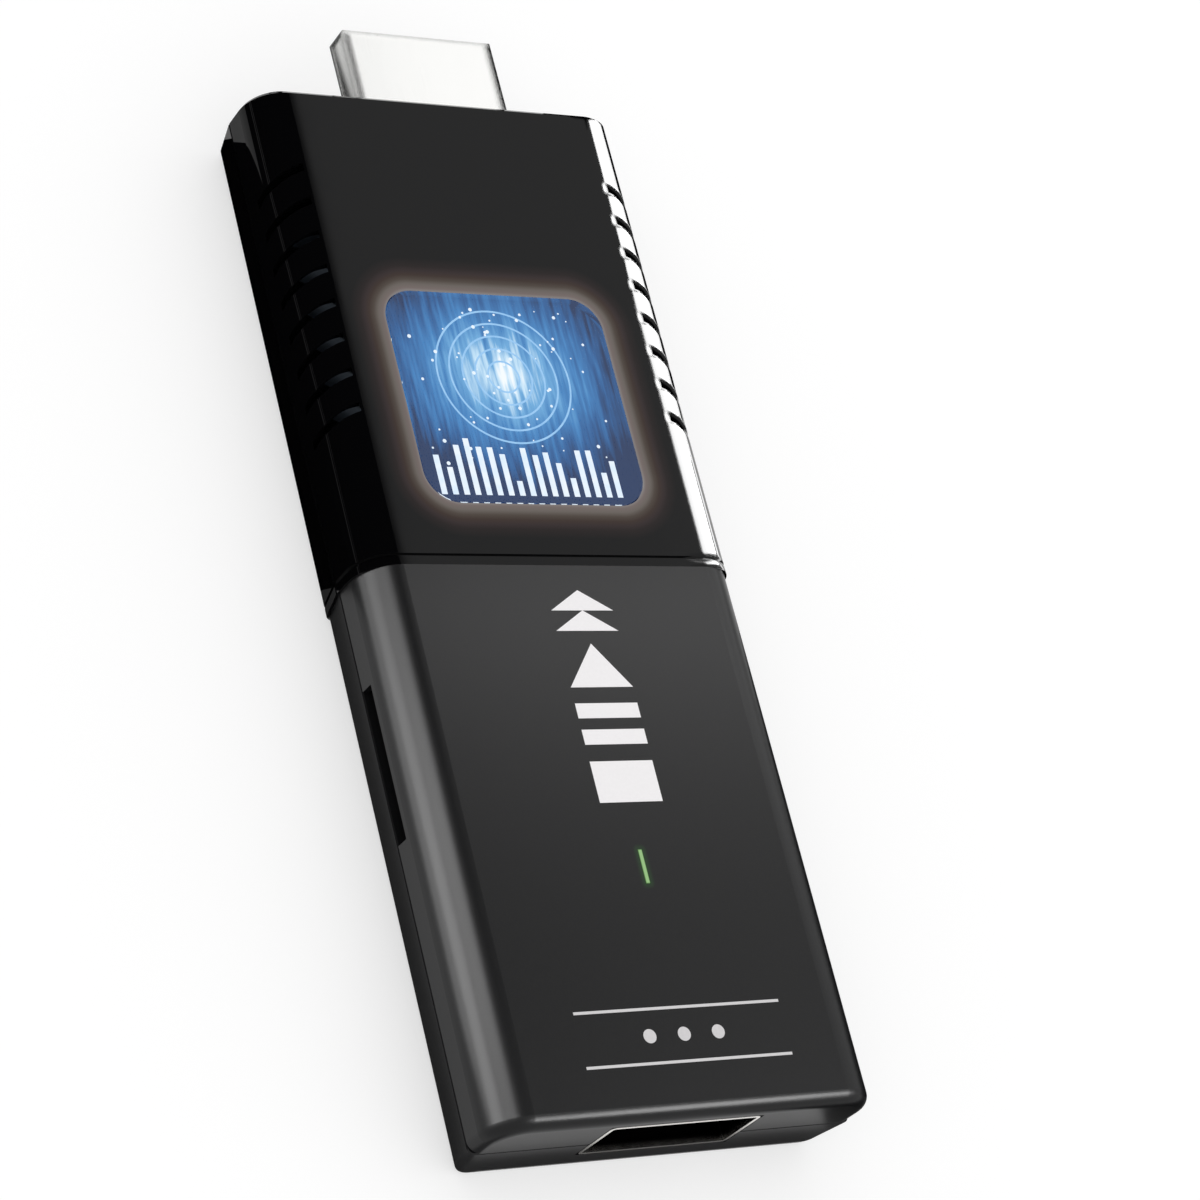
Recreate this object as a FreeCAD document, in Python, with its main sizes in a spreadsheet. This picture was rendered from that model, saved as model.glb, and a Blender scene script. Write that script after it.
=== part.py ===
import FreeCAD, Part
import math
import os
import re
import Sketcher
from FreeCAD import Placement, Rotation, Vector

# A streaming media stick, in millimetres.
# X runs across the stick, +Y points to the HDMI plug, +Z is up from the table.
# The origin is the middle of the base under the whole stick, plug included.

os.makedirs("parts", exist_ok=True)
doc = FreeCAD.newDocument("media_stick")
sheet = doc.addObject("Spreadsheet::Sheet", "sizes")

SIZES = [
    # housing
    ("body_width", 33.5),
    ("body_length", 87.5),
    ("body_height", 9.8),
    ("seam_height", 4.75),
    ("front_length", 42.6),
    ("front_proud", 0.25),
    ("side_wall", 1.2),
    ("end_wall", 1.2),
    ("roof_wall", 1.2),
    ("floor_wall", 1.2),
    ("shoulder_round", 3.1),
    ("belly_round", 1.4),
    ("belly_lean", 1.15),
    ("rear_edge_round", 1.05),
    ("rear_belly_edge", 0.55),
    ("front_edge_bevel", 0.35),
    ("seam_bevel", 0.12),
    # lap joints between the four shells
    ("lap_height", 0.8),
    ("lap_thick", 0.55),
    ("lap_gap", 0.05),
    ("sleeve_length", 1.5),
    # groove round the glossy half, beside the step
    ("groove_from_step", 0.65),
    ("groove_width", 0.3),
    ("groove_depth", 0.2),
    # vent slots over the shoulders
    ("vent_count", 8),
    ("vent_pitch", 3.1),
    ("vent_set_back", 8.1),
    ("vent_width", 0.75),
    ("vent_up", 2.0),
    ("vent_down", 2.4),
    ("vent_lean", 0.4),
    ("vent_depth", 3.0),
    # lit window
    ("window_width", 20.0),
    ("window_length", 19.0),
    ("window_round", 2.8),
    ("window_set_back", 27.75),
    ("lens_gap", 0.08),
    ("flange_reach", 1.0),
    ("flange_thick", 0.4),
    ("film_thick", 0.1),
    ("reflector_thick", 0.15),
    # circuit board and its supports
    ("board_lift", 2.2),
    ("board_thick", 1.0),
    ("board_gap", 0.3),
    ("boss_from_side", 5.5),
    ("boss_from_front", 6.0),
    ("boss_from_rear", 8.0),
    ("boss_radius", 1.8),
    ("post_radius", 1.3),
    ("pin_radius", 0.6),
    ("pin_height", 0.8),
    ("pin_gap", 0.1),
    ("rib_width", 2.4),
    ("rib_length", 0.9),
    ("rib_from_step", 8.0),
    ("screw_radius", 0.8),
    ("screw_length", 3.0),
    ("screw_gap", 0.05),
    ("head_radius", 1.5),
    ("head_height", 0.9),
    ("recess_length", 1.5),
    ("recess_width", 0.35),
    ("recess_depth", 0.45),
    # HDMI plug
    ("plug_reach", 7.0),
    ("plug_inside", 8.0),
    ("plug_width", 13.9),
    ("plug_height", 4.45),
    ("plug_side", 2.5),
    ("plug_taper", 1.8),
    ("plug_sheet", 0.3),
    ("plug_slot_width", 11.6),
    ("plug_slot_height", 1.9),
    ("plug_slot_depth", 9.0),
    ("plug_lip", 0.8),
    ("plug_pin_width", 0.4),
    ("plug_pin_thick", 0.1),
    ("plug_pin_pitch", 1.0),
    ("plug_pin_length", 6.0),
    ("plug_tail_length", 1.2),
    ("port_gap", 0.1),
    # USB receptacle
    ("usb_width", 13.1),
    ("usb_height", 5.7),
    ("usb_roof_gap", 0.35),
    ("usb_depth", 14.0),
    ("usb_sheet", 0.3),
    ("usb_round", 0.5),
    ("usb_back", 4.5),
    ("tongue_width", 11.1),
    ("tongue_thick", 1.84),
    ("tongue_drop", 0.95),
    ("tongue_set_back", 1.9),
    ("usb_pin_width", 1.0),
    ("usb_pin_thick", 0.2),
    ("usb_pin_length", 6.5),
    ("usb_pin_pitch", 2.5),
    ("tab_reach", 1.2),
    ("tab_length", 1.8),
    ("tab_thick", 0.3),
    ("tab_from_mouth", 4.0),
    ("tab_spacing", 6.0),
    ("notch_gap", 0.15),
    # micro-USB power inlet
    ("inlet_from_rear", 31.0),
    ("inlet_width", 7.5),
    ("inlet_height", 2.7),
    ("inlet_side", 1.7),
    ("inlet_taper", 0.9),
    ("inlet_depth", 5.3),
    ("inlet_sheet", 0.25),
    ("inlet_recess", 1.0),
    ("inlet_tongue_width", 3.7),
    ("inlet_tongue_thick", 0.6),
    ("inlet_tongue_length", 3.2),
    ("inlet_pin_width", 0.25),
    ("inlet_pin_thick", 0.08),
    ("inlet_pin_pitch", 0.65),
    ("opening_gap", 0.3),
    # memory card socket
    ("card_from_rear", 30.25),
    ("slot_width", 12.6),
    ("slot_height", 1.5),
    ("lip_gap", 0.2),
    ("socket_width", 14.4),
    ("socket_depth", 14.6),
    ("socket_height", 1.9),
    ("socket_sheet", 0.2),
    ("socket_plate", 0.5),
    ("socket_rail", 0.7),
    ("socket_back", 0.8),
    ("socket_recess", 0.2),
    ("lane_width", 1.8),
    ("slider_gap", 0.1),
    ("slider_from_mouth", 3.0),
    ("slider_length", 4.0),
    ("toe_reach", 1.2),
    ("toe_length", 0.9),
    ("card_pin_width", 0.6),
    ("card_pin_thick", 0.15),
    ("card_pin_pitch", 1.1),
    ("card_pin_length", 4.5),
    ("card_pin_count", 8),
    ("card_pin_from_back", 1.0),
    ("spring_radius", 0.3),
    ("spring_wire", 0.08),
    ("spring_turns", 6),
    ("spring_aside", 0.4),
    ("cam_wire", 0.15),
    ("cam_aside", 0.35),
    ("cam_rise", 0.25),
    ("cam_from_back", 0.8),
    # status light
    ("light_aside", 0.75),
    ("light_from_rear", 19.6),
    ("light_length", 2.8),
    ("light_width", 0.4),
    ("light_gap", 0.03),
    ("pipe_body_width", 1.2),
    ("pipe_body_length", 3.4),
    ("led_length", 1.6),
    ("led_width", 0.8),
    ("led_height", 0.6),
    ("led_air", 0.2),
    # packages on the board
    ("processor_size", 12.0),
    ("processor_height", 1.2),
    ("pad_size", 11.0),
    ("pad_thick", 0.5),
    ("spreader_gap", 1.8),
    ("spreader_length", 26.0),
    ("spreader_thick", 0.8),
    ("spreader_round", 1.5),
    ("strip_thick", 0.2),
    ("strip_roof_gap", 0.15),
    ("strip_length", 17.0),
    ("lamp_width", 1.6),
    ("lamp_depth", 0.6),
    ("lamp_drop", 0.1),
    ("lamp_pitch", 6.0),
    ("lamp_gap", 0.1),
    ("memory_width", 6.2),
    ("memory_length", 11.0),
    ("memory_height", 1.0),
    ("memory_edge", 0.5),
    ("flash_width", 11.5),
    ("flash_length", 13.0),
    ("flash_height", 1.0),
    ("can_width", 9.5),
    ("can_length", 8.5),
    ("can_height", 1.8),
    ("can_sheet", 0.2),
    ("can_round", 0.6),
    ("can_slit_length", 2.0),
    ("can_slit_width", 0.6),
    ("can_edge", 1.65),
    ("can_gap", 0.6),
    ("antenna_width", 2.0),
    ("antenna_length", 5.0),
    ("antenna_height", 1.0),
    ("antenna_from_rear", 5.5),
    ("antenna_edge", 1.5),
    ("coil_size", 4.0),
    ("coil_height", 1.8),
    ("coil_corner", 0.8),
    ("coil_gap", 1.0),
    ("coil_edge", 3.1),
    ("coil_pitch", 5.2),
    ("capacitor_width", 0.8),
    ("capacitor_length", 1.6),
    ("capacitor_height", 0.8),
    ("capacitor_pitch", 2.2),
    ("capacitor_count", 6),
    ("capacitor_gap", 1.0),
    ("crystal_width", 3.2),
    ("crystal_length", 2.5),
    ("crystal_height", 0.7),
    ("crystal_round", 0.4),
    ("crystal_edge", 3.8),
]
for row, (alias, number) in enumerate(SIZES, start=1):
    sheet.set(f"A{row}", alias)
    sheet.set(f"B{row}", str(number))
    sheet.setAlias(f"B{row}", alias)
doc.recompute()


# Formulas: every size is two or more words joined by low lines, so a formula can name it as it is

def formula(text):
    """Writes the sheet's name before each size that a formula uses."""
    return re.sub(r"[a-z]+(?:_[a-z]+)+", lambda word: "sizes." + word.group(0), text)


def bind(thing, target, text):
    """Ties one property of a document object to a formula of sizes."""
    thing.setExpression(target, formula(text))


def value(text):
    """The number that a formula gives now, for choosing edges and starting sketches."""
    return float(sheet.evalExpression(formula(text)))


# Places that many pieces share

MIDDLE = "0"
REAR = "(0 - (body_length + plug_reach) / 2)"
FRONT = f"({REAR} + body_length)"
STEP = f"({FRONT} - front_length)"
TIP = f"({FRONT} + plug_reach)"
SIDE = "(body_width / 2)"
FRONT_SIDE = "(body_width / 2 + front_proud)"
INNER_SIDE = "(body_width / 2 - side_wall)"
SCREW_X = "(body_width / 2 - boss_from_side)"
CEILING = "(body_height - roof_wall)"
BOARD_LOW = "(floor_wall + board_lift)"
BOARD_TOP = "(floor_wall + board_lift + board_thick)"
BOARD_INSET = "(side_wall + belly_lean * (seam_height - floor_wall - board_lift) / seam_height + board_gap)"
LAP_INSET = "(side_wall - lap_thick)"
RELIEF_INSET = "(side_wall - lap_thick - lap_gap)"
LAP_TOP = "(seam_height + lap_height)"
WINDOW_Y = f"({FRONT} - window_set_back)"
CARD_Y = f"({REAR} + card_from_rear)"
INLET_Y = f"({REAR} + inlet_from_rear)"
LIGHT_Y = f"({REAR} + light_from_rear)"
PLUG_TOP = f"({BOARD_TOP} + plug_height)"
USB_TOP = "(body_height - roof_wall - usb_roof_gap)"
USB_MIDDLE = "(body_height - roof_wall - usb_roof_gap - usb_height / 2)"
USB_END = f"({REAR} + usb_depth)"


# Bodies, sketches and features

def new_body(name):
    """An empty body that carries one piece of the stick."""
    body = doc.addObject("PartDesign::Body", name)
    body.Label = name
    return body


def origin_feature(body, role):
    """One of the body's own origin planes or axes, found by its role."""
    return [feature for feature in body.Origin.OriginFeatures if feature.Role == role][0]


def new_sketch(body, name, plane, offset):
    """A sketch on an origin plane of its body, moved along the plane's normal."""
    sketch = body.newObject("Sketcher::SketchObject", name)
    sketch.AttachmentSupport = (origin_feature(body, plane), [""])
    sketch.MapMode = "FlatFace"
    bind(sketch, "AttachmentOffset.Base.z", offset)
    return sketch


def plan_sketch(body, name, height):
    """A sketch seen from above, at a height."""
    return new_sketch(body, name, "XY_Plane", height)


def section_sketch(body, name, place):
    """A sketch across the stick (X and Z), at a place along Y."""
    return new_sketch(body, name, "XZ_Plane", f"0 - ({place})")


def side_sketch(body, name, place):
    """A sketch seen from the side (Y and Z), at a place along X."""
    return new_sketch(body, name, "YZ_Plane", place)


def hold(sketch, kind, geometry, point, text, name):
    """Holds one point's distance from the sketch's origin to a formula."""
    constraint = Sketcher.Constraint(kind, -1, 1, geometry, point, value(text))
    index = sketch.addConstraint(constraint)
    sketch.renameConstraint(index, name)
    bind(sketch, "Constraints." + name, text)


def outline(sketch, corners):
    """A closed outline of straight lines, each corner held by its two coordinates."""
    points = [Vector(value(x), value(y), 0) for x, y in corners]
    first = sketch.GeometryCount
    count = len(points)
    for number in range(count):
        sketch.addGeometry(Part.LineSegment(points[number], points[(number + 1) % count]), False)
    for number in range(count):
        after = first + (number + 1) % count
        sketch.addConstraint(Sketcher.Constraint("Coincident", first + number, 2, after, 1))
    for number, (x, y) in enumerate(corners):
        line = first + number
        hold(sketch, "DistanceX", line, 1, x, f"across{line}")
        hold(sketch, "DistanceY", line, 1, y, f"up{line}")


def rectangle(sketch, low_x, high_x, low_y, high_y):
    """A rectangle between four coordinates."""
    outline(sketch, [(low_x, low_y), (high_x, low_y), (high_x, high_y), (low_x, high_y)])


def centred(sketch, middle_x, middle_y, width, length):
    """A rectangle about a middle point."""
    rectangle(sketch, f"{middle_x} - ({width}) / 2", f"{middle_x} + ({width}) / 2",
              f"{middle_y} - ({length}) / 2", f"{middle_y} + ({length}) / 2")


def circle(sketch, middle_x, middle_y, radius):
    """A circle held by its middle and its radius."""
    middle = Vector(value(middle_x), value(middle_y), 0)
    ring = sketch.addGeometry(Part.Circle(middle, Vector(0, 0, 1), value(radius)), False)
    hold(sketch, "DistanceX", ring, 3, middle_x, f"across{ring}")
    hold(sketch, "DistanceY", ring, 3, middle_y, f"up{ring}")
    named_radius(sketch, ring, radius, f"radius{ring}")


def arc(sketch, middle_x, middle_y, radius, start, end):
    """Part of a circle that turns left from its start angle to its end angle."""
    base = Part.Circle(Vector(middle_x, middle_y, 0), Vector(0, 0, 1), radius)
    return sketch.addGeometry(Part.ArcOfCircle(base, start, end), False)


def corner_arc(sketch, middle_x, middle_y, radius, quarters):
    """A quarter circle that turns left, from a start angle in quarter turns."""
    quarter = math.pi / 2
    return arc(sketch, middle_x, middle_y, radius, quarters * quarter, (quarters + 1) * quarter)


def named_angle(sketch, line, text, name):
    """Holds a line's angle from the sketch's first axis to a formula, in degrees."""
    index = sketch.addConstraint(Sketcher.Constraint("Angle", line, math.radians(value(text))))
    sketch.renameConstraint(index, name)
    bind(sketch, "Constraints." + name, text)


def named_radius(sketch, ring, text, name):
    """Holds the radius of a circle or an arc to a formula."""
    index = sketch.addConstraint(Sketcher.Constraint("Radius", ring, value(text)))
    sketch.renameConstraint(index, name)
    bind(sketch, "Constraints." + name, text)


def arch(sketch, half_width, flat, crown, radius):
    """An upper section: flat below, upright sides, and a crown with two round corners."""
    wide = value(half_width)
    low = value(flat)
    high = value(crown)
    turn = value(radius)
    spring = high - turn
    floor = sketch.addGeometry(Part.LineSegment(Vector(-wide, low, 0), Vector(wide, low, 0)), False)
    right = sketch.addGeometry(Part.LineSegment(Vector(wide, low, 0), Vector(wide, spring, 0)), False)
    right_arc = corner_arc(sketch, wide - turn, spring, turn, 0)
    top = sketch.addGeometry(
        Part.LineSegment(Vector(wide - turn, high, 0), Vector(turn - wide, high, 0)), False)
    left_arc = corner_arc(sketch, turn - wide, spring, turn, 1)
    left = sketch.addGeometry(Part.LineSegment(Vector(-wide, spring, 0), Vector(-wide, low, 0)), False)
    sketch.addConstraint(Sketcher.Constraint("Coincident", floor, 2, right, 1))
    sketch.addConstraint(Sketcher.Constraint("Tangent", right, 2, right_arc, 1))
    sketch.addConstraint(Sketcher.Constraint("Tangent", right_arc, 2, top, 1))
    sketch.addConstraint(Sketcher.Constraint("Tangent", top, 2, left_arc, 1))
    sketch.addConstraint(Sketcher.Constraint("Tangent", left_arc, 2, left, 1))
    sketch.addConstraint(Sketcher.Constraint("Coincident", left, 2, floor, 1))
    sketch.addConstraint(Sketcher.Constraint("Vertical", right))
    sketch.addConstraint(Sketcher.Constraint("Vertical", left))
    sketch.addConstraint(Sketcher.Constraint("Equal", right_arc, left_arc))
    named_radius(sketch, right_arc, radius, f"round{right_arc}")
    hold(sketch, "DistanceX", floor, 1, f"0 - ({half_width})", f"left{floor}")
    hold(sketch, "DistanceX", floor, 2, half_width, f"right{floor}")
    hold(sketch, "DistanceY", floor, 1, flat, f"flat{floor}")
    hold(sketch, "DistanceY", floor, 2, flat, f"level{floor}")
    hold(sketch, "DistanceY", top, 1, crown, f"crown{floor}")


def tray(sketch, half_width, top, bottom, radius):
    """A lower section: flat above, sides that lean inwards below the seam, and a floor with two
    round corners. The top may lie above the seam, and the sides are upright there."""
    lean = "atan(belly_lean / seam_height)"
    angle = math.radians(value(lean))
    wide = value(half_width)
    seam = value("seam_height")
    high = value(top)
    low = value(bottom)
    turn = value(radius)
    foot = wide - math.tan(angle) * (seam - low)
    reach = turn * math.tan((math.pi / 2 - angle) / 2)
    side_x = foot + reach * math.sin(angle)
    side_y = low + reach * math.cos(angle)
    raised = high > seam

    def line(start, end):
        return sketch.addGeometry(Part.LineSegment(Vector(*start, 0), Vector(*end, 0)), False)

    lid = line((-wide, high), (wide, high))
    right = line((side_x, side_y), (wide, seam))
    right_arc = arc(sketch, foot - reach, low + turn, turn, -math.pi / 2, -angle)
    floor = line((reach - foot, low), (foot - reach, low))
    left_arc = arc(sketch, reach - foot, low + turn, turn, math.pi + angle, math.pi * 3 / 2)
    left = line((-side_x, side_y), (-wide, seam))
    sketch.addConstraint(Sketcher.Constraint("Tangent", right_arc, 2, right, 1))
    sketch.addConstraint(Sketcher.Constraint("Tangent", floor, 2, right_arc, 1))
    sketch.addConstraint(Sketcher.Constraint("Tangent", left_arc, 2, floor, 1))
    sketch.addConstraint(Sketcher.Constraint("Tangent", left, 1, left_arc, 1))
    sketch.addConstraint(Sketcher.Constraint("Horizontal", floor))
    sketch.addConstraint(Sketcher.Constraint("Equal", right_arc, left_arc))
    named_radius(sketch, right_arc, radius, f"round{lid}")
    named_angle(sketch, right, f"90 deg - {lean}", f"right_lean{lid}")
    named_angle(sketch, left, f"90 deg + {lean}", f"left_lean{lid}")
    hold(sketch, "DistanceY", floor, 1, bottom, f"floor{lid}")
    for side, sign, end in ((right, "", 2), (left, "0 - ", 1)):
        across = f"{sign}({half_width})"
        if raised:
            riser = line((value(across), seam), (value(across), high))
            sketch.addConstraint(Sketcher.Constraint("Coincident", side, 2, riser, 1))
            sketch.addConstraint(Sketcher.Constraint("Coincident", riser, 2, lid, end))
            sketch.addConstraint(Sketcher.Constraint("Vertical", riser))
            hold(sketch, "DistanceY", riser, 1, "seam_height", f"seam{riser}")
        else:
            sketch.addConstraint(Sketcher.Constraint("Coincident", side, 2, lid, end))
        hold(sketch, "DistanceX", lid, end, across, f"across{lid}_{end}")
        hold(sketch, "DistanceY", lid, end, top, f"top{lid}_{end}")


def rounded(sketch, middle_x, middle_y, width, height, radius):
    """A rectangle about a middle point, with four round corners."""
    turn = value(radius)
    left = value(middle_x) - value(width) / 2
    right = value(middle_x) + value(width) / 2
    low = value(middle_y) - value(height) / 2
    high = value(middle_y) + value(height) / 2
    sides = [
        ((left + turn, low), (right - turn, low)),
        ((right, low + turn), (right, high - turn)),
        ((right - turn, high), (left + turn, high)),
        ((left, high - turn), (left, low + turn)),
    ]
    lines = [sketch.addGeometry(Part.LineSegment(Vector(*start, 0), Vector(*end, 0)), False)
             for start, end in sides]
    arcs = [
        corner_arc(sketch, right - turn, low + turn, turn, 3),
        corner_arc(sketch, right - turn, high - turn, turn, 0),
        corner_arc(sketch, left + turn, high - turn, turn, 1),
        corner_arc(sketch, left + turn, low + turn, turn, 2),
    ]
    for number in range(4):
        sketch.addConstraint(Sketcher.Constraint("Tangent", lines[number], 2, arcs[number], 1))
        sketch.addConstraint(Sketcher.Constraint("Tangent", arcs[number], 2, lines[(number + 1) % 4], 1))
    sketch.addConstraint(Sketcher.Constraint("Horizontal", lines[0]))
    sketch.addConstraint(Sketcher.Constraint("Vertical", lines[1]))
    for other in arcs[1:]:
        sketch.addConstraint(Sketcher.Constraint("Equal", arcs[0], other))
    named_radius(sketch, arcs[0], radius, f"round{arcs[0]}")
    hold(sketch, "DistanceY", lines[0], 1, f"{middle_y} - ({height}) / 2", f"low{lines[0]}")
    hold(sketch, "DistanceX", lines[1], 1, f"{middle_x} + ({width}) / 2", f"right{lines[0]}")
    hold(sketch, "DistanceY", lines[2], 1, f"{middle_y} + ({height}) / 2", f"high{lines[0]}")
    hold(sketch, "DistanceX", lines[3], 1, f"{middle_x} - ({width}) / 2", f"left{lines[0]}")


def pad(body, sketch, length, backwards=False):
    """Grows a sketch into its body, along the sketch's normal or against it."""
    feature = body.newObject("PartDesign::Pad", sketch.Name + "_pad")
    feature.Profile = sketch
    feature.Reversed = backwards
    bind(feature, "Length", length)
    doc.recompute()
    return feature


def pocket(body, sketch, length, forwards=False):
    """Cuts a sketch out of its body, against the sketch's normal or along it."""
    before = body.Shape.Volume
    feature = body.newObject("PartDesign::Pocket", sketch.Name + "_cut")
    feature.Profile = sketch
    feature.Reversed = forwards
    bind(feature, "Length", length)
    doc.recompute()
    if body.Shape.Volume > before - 1e-6:
        raise ValueError(feature.Name + " cuts nothing")
    return feature


def edges_at(shape, x=None, y=None, z=None):
    """Names of the edges whose two ends both lie at the given coordinates."""
    wanted = [None if text is None else value(text) for text in (x, y, z)]
    names = []
    for number, edge in enumerate(shape.Edges, start=1):
        ends = [vertex.Point for vertex in edge.Vertexes]
        if len(ends) < 2:
            continue
        if all(goal is None or all(abs(end[axis] - goal) < 1e-4 for end in ends)
               for axis, goal in enumerate(wanted)):
            names.append(f"Edge{number}")
    return names


def round_edges(body, names, radius):
    """Fillets the named edges of the body's last feature."""
    base = body.Tip
    feature = body.newObject("PartDesign::Fillet", body.Name + "_round")
    feature.Base = (base, names)
    bind(feature, "Radius", radius)
    doc.recompute()
    return feature


def bevel_edges(body, names, width):
    """Chamfers the named edges of the body's last feature."""
    base = body.Tip
    feature = body.newObject("PartDesign::Chamfer", body.Name + "_bevel")
    feature.Base = (base, names)
    bind(feature, "Size", width)
    doc.recompute()
    return feature


# Plain blocks, rods and groups

def block(name, middle_x, middle_y, low, width, length, height):
    """A box about a middle point, standing on a height."""
    box = doc.addObject("Part::Box", name)
    bind(box, "Length", width)
    bind(box, "Width", length)
    bind(box, "Height", height)
    bind(box, "Placement.Base.x", f"{middle_x} - ({width}) / 2")
    bind(box, "Placement.Base.y", f"{middle_y} - ({length}) / 2")
    bind(box, "Placement.Base.z", low)
    return box


def rod(name, x, y, low, radius, height):
    """An upright round rod."""
    cylinder = doc.addObject("Part::Cylinder", name)
    bind(cylinder, "Radius", radius)
    bind(cylinder, "Height", height)
    bind(cylinder, "Placement.Base.x", x)
    bind(cylinder, "Placement.Base.y", y)
    bind(cylinder, "Placement.Base.z", low)
    return cylinder


def group(name, members):
    """Several separate solids of one kind as one sub-part."""
    compound = doc.addObject("Part::Compound", name)
    compound.Links = members
    compound.Label = name
    return compound


pieces = []


# Housing shells

def upper_form(body, side, ends):
    """The outer block of an upper half shell, from the seam to the roof."""
    low_y, high_y = ends
    section = section_sketch(body, body.Name + "_section", high_y)
    arch(section, side, "seam_height", "body_height", "shoulder_round")
    pad(body, section, f"{high_y} - {low_y}")


def lower_form(body, side, ends):
    """The outer block of a lower half shell, from the floor to the seam."""
    low_y, high_y = ends
    section = section_sketch(body, body.Name + "_section", high_y)
    tray(section, side, "seam_height", MIDDLE, "belly_round")
    pad(body, section, f"{high_y} - {low_y}")


def soften(body, crown, end_face, open_face, end_edge, amount):
    """Rounds or bevels the end face all round, and takes the sharp edge off the seam."""
    end_edge(body, edges_at(body.Shape, y=end_face, z=crown), amount)
    seam_names = edges_at(body.Shape, z="seam_height")
    open_names = set(edges_at(body.Shape, y=open_face))
    bevel_edges(body, [name for name in seam_names if name not in open_names], "seam_bevel")


def pinned_post(body, x, y):
    """A post that carries the board, with a pin through the board's hole."""
    post = plan_sketch(body, f"{body.Name}_post", "floor_wall")
    circle(post, x, y, "post_radius")
    pad(body, post, "board_lift")
    pin = plan_sketch(body, f"{body.Name}_pin", BOARD_LOW)
    circle(pin, x, y, "pin_radius")
    pad(body, pin, "pin_height")


def board_ribs(body, y):
    """Two upright ribs under the board's long edges."""
    ribs = plan_sketch(body, f"{body.Name}_ribs", "floor_wall")
    for side in ("", "0 - "):
        centred(ribs, f"({side}{SCREW_X})", y, "rib_width", "rib_length")
    pad(body, ribs, "board_lift")


def screw_boss(body, x, y):
    """A boss that takes a board screw, with its pilot hole."""
    boss = plan_sketch(body, f"{body.Name}_boss", "floor_wall")
    circle(boss, x, y, "boss_radius")
    pad(body, boss, "board_lift")
    hole = plan_sketch(body, f"{body.Name}_pilot", BOARD_LOW)
    circle(hole, x, y, "screw_radius + screw_gap")
    pocket(body, hole, "screw_length - board_thick + screw_gap")


def groove_round(body, draw_core, open_side, far_side, radius):
    """The shallow line that runs round the glossy half beside the step, outside a core section."""
    line = section_sketch(body, body.Name + "_groove", f"{STEP} + groove_from_step + groove_width")
    rectangle(line, f"0 - {SIDE} * 2", f"{SIDE} * 2", "0 - body_height", "body_height * 2")
    draw_core(line, f"{FRONT_SIDE} - groove_depth", open_side, far_side, f"{radius} - groove_depth")
    pocket(body, line, "groove_width", forwards=True)


def front_top_cover():
    """Glossy upper shell over the processor, with the vents and the window."""
    body = new_body("front_top_cover")
    upper_form(body, FRONT_SIDE, (STEP, FRONT))
    soften(body, "body_height", FRONT, STEP, bevel_edges, "front_edge_bevel")
    groove_round(body, arch, "seam_height - groove_width", "body_height - groove_depth", "shoulder_round")
    cavity = section_sketch(body, "front_top_cavity", f"{FRONT} - end_wall")
    arch(cavity, INNER_SIDE, "seam_height", CEILING, "shoulder_round - side_wall")
    pocket(body, cavity, "front_length", forwards=True)
    sleeve = section_sketch(body, "front_top_sleeve", f"{STEP} + sleeve_length + lap_gap")
    arch(sleeve, f"{SIDE} - {RELIEF_INSET}", "seam_height", f"body_height - {RELIEF_INSET}",
         f"shoulder_round - {RELIEF_INSET}")
    pocket(body, sleeve, "front_length", forwards=True)
    relief = plan_sketch(body, "front_top_relief", f"{LAP_TOP} + lap_gap")
    rectangle(relief, f"0 - {SIDE} + {RELIEF_INSET}", f"{SIDE} - {RELIEF_INSET}",
              f"{STEP} - sleeve_length", f"{FRONT} - {RELIEF_INSET}")
    pocket(body, relief, "lap_height + lap_gap * 2")
    port = section_sketch(body, "front_top_port", f"{FRONT} + plug_reach")
    centred(port, MIDDLE, "seam_height", "plug_width + port_gap * 2",
            f"({PLUG_TOP} + port_gap - seam_height) * 2")
    pocket(body, port, "plug_reach + plug_inside + port_gap", forwards=True)
    window = plan_sketch(body, "front_top_window", "body_height")
    rounded(window, MIDDLE, WINDOW_Y, "window_width", "window_length", "window_round")
    pocket(body, window, "roof_wall * 1.5")
    for side, word in ((1, "right"), (-1, "left")):
        vents(body, side, word)
    pieces.append(body)


def vents(body, side, word):
    """A row of slanted slots over one shoulder, cut square to the shoulder's middle."""
    first = f"({FRONT} - vent_set_back)"
    slot = body.newObject("Sketcher::SketchObject", "vent_" + word)
    slot.AttachmentSupport = (origin_feature(body, "XY_Plane"), [""])
    slot.MapMode = "FlatFace"
    slot.AttachmentOffset = Placement(Vector(0, 0, 0), Rotation(Vector(0, 1, 0), 45 * side))
    bind(slot, "AttachmentOffset.Base.x", f"{side} * ({FRONT_SIDE} - shoulder_round * (1 - cos(45)))")
    bind(slot, "AttachmentOffset.Base.z", "body_height - shoulder_round * (1 - cos(45))")
    upper = f"{-side} * vent_up"
    lower = f"{side} * vent_down"
    outline(slot, [
        (upper, f"{first} + vent_lean * vent_up - vent_width / 2"),
        (lower, f"{first} - vent_lean * vent_down - vent_width / 2"),
        (lower, f"{first} - vent_lean * vent_down + vent_width / 2"),
        (upper, f"{first} + vent_lean * vent_up + vent_width / 2"),
    ])
    cut = pocket(body, slot, "vent_depth")
    before = body.Shape.Volume
    row = body.newObject("PartDesign::LinearPattern", "vent_row_" + word)
    row.Originals = [cut]
    row.Direction = (origin_feature(body, "Y_Axis"), [""])
    row.Reversed = True
    bind(row, "Length", "vent_pitch * (vent_count - 1)")
    bind(row, "Occurrences", "vent_count")
    body.Tip = row
    doc.recompute()
    if body.Shape.Volume > before - 1e-6:
        raise ValueError("the vents were not repeated")


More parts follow.
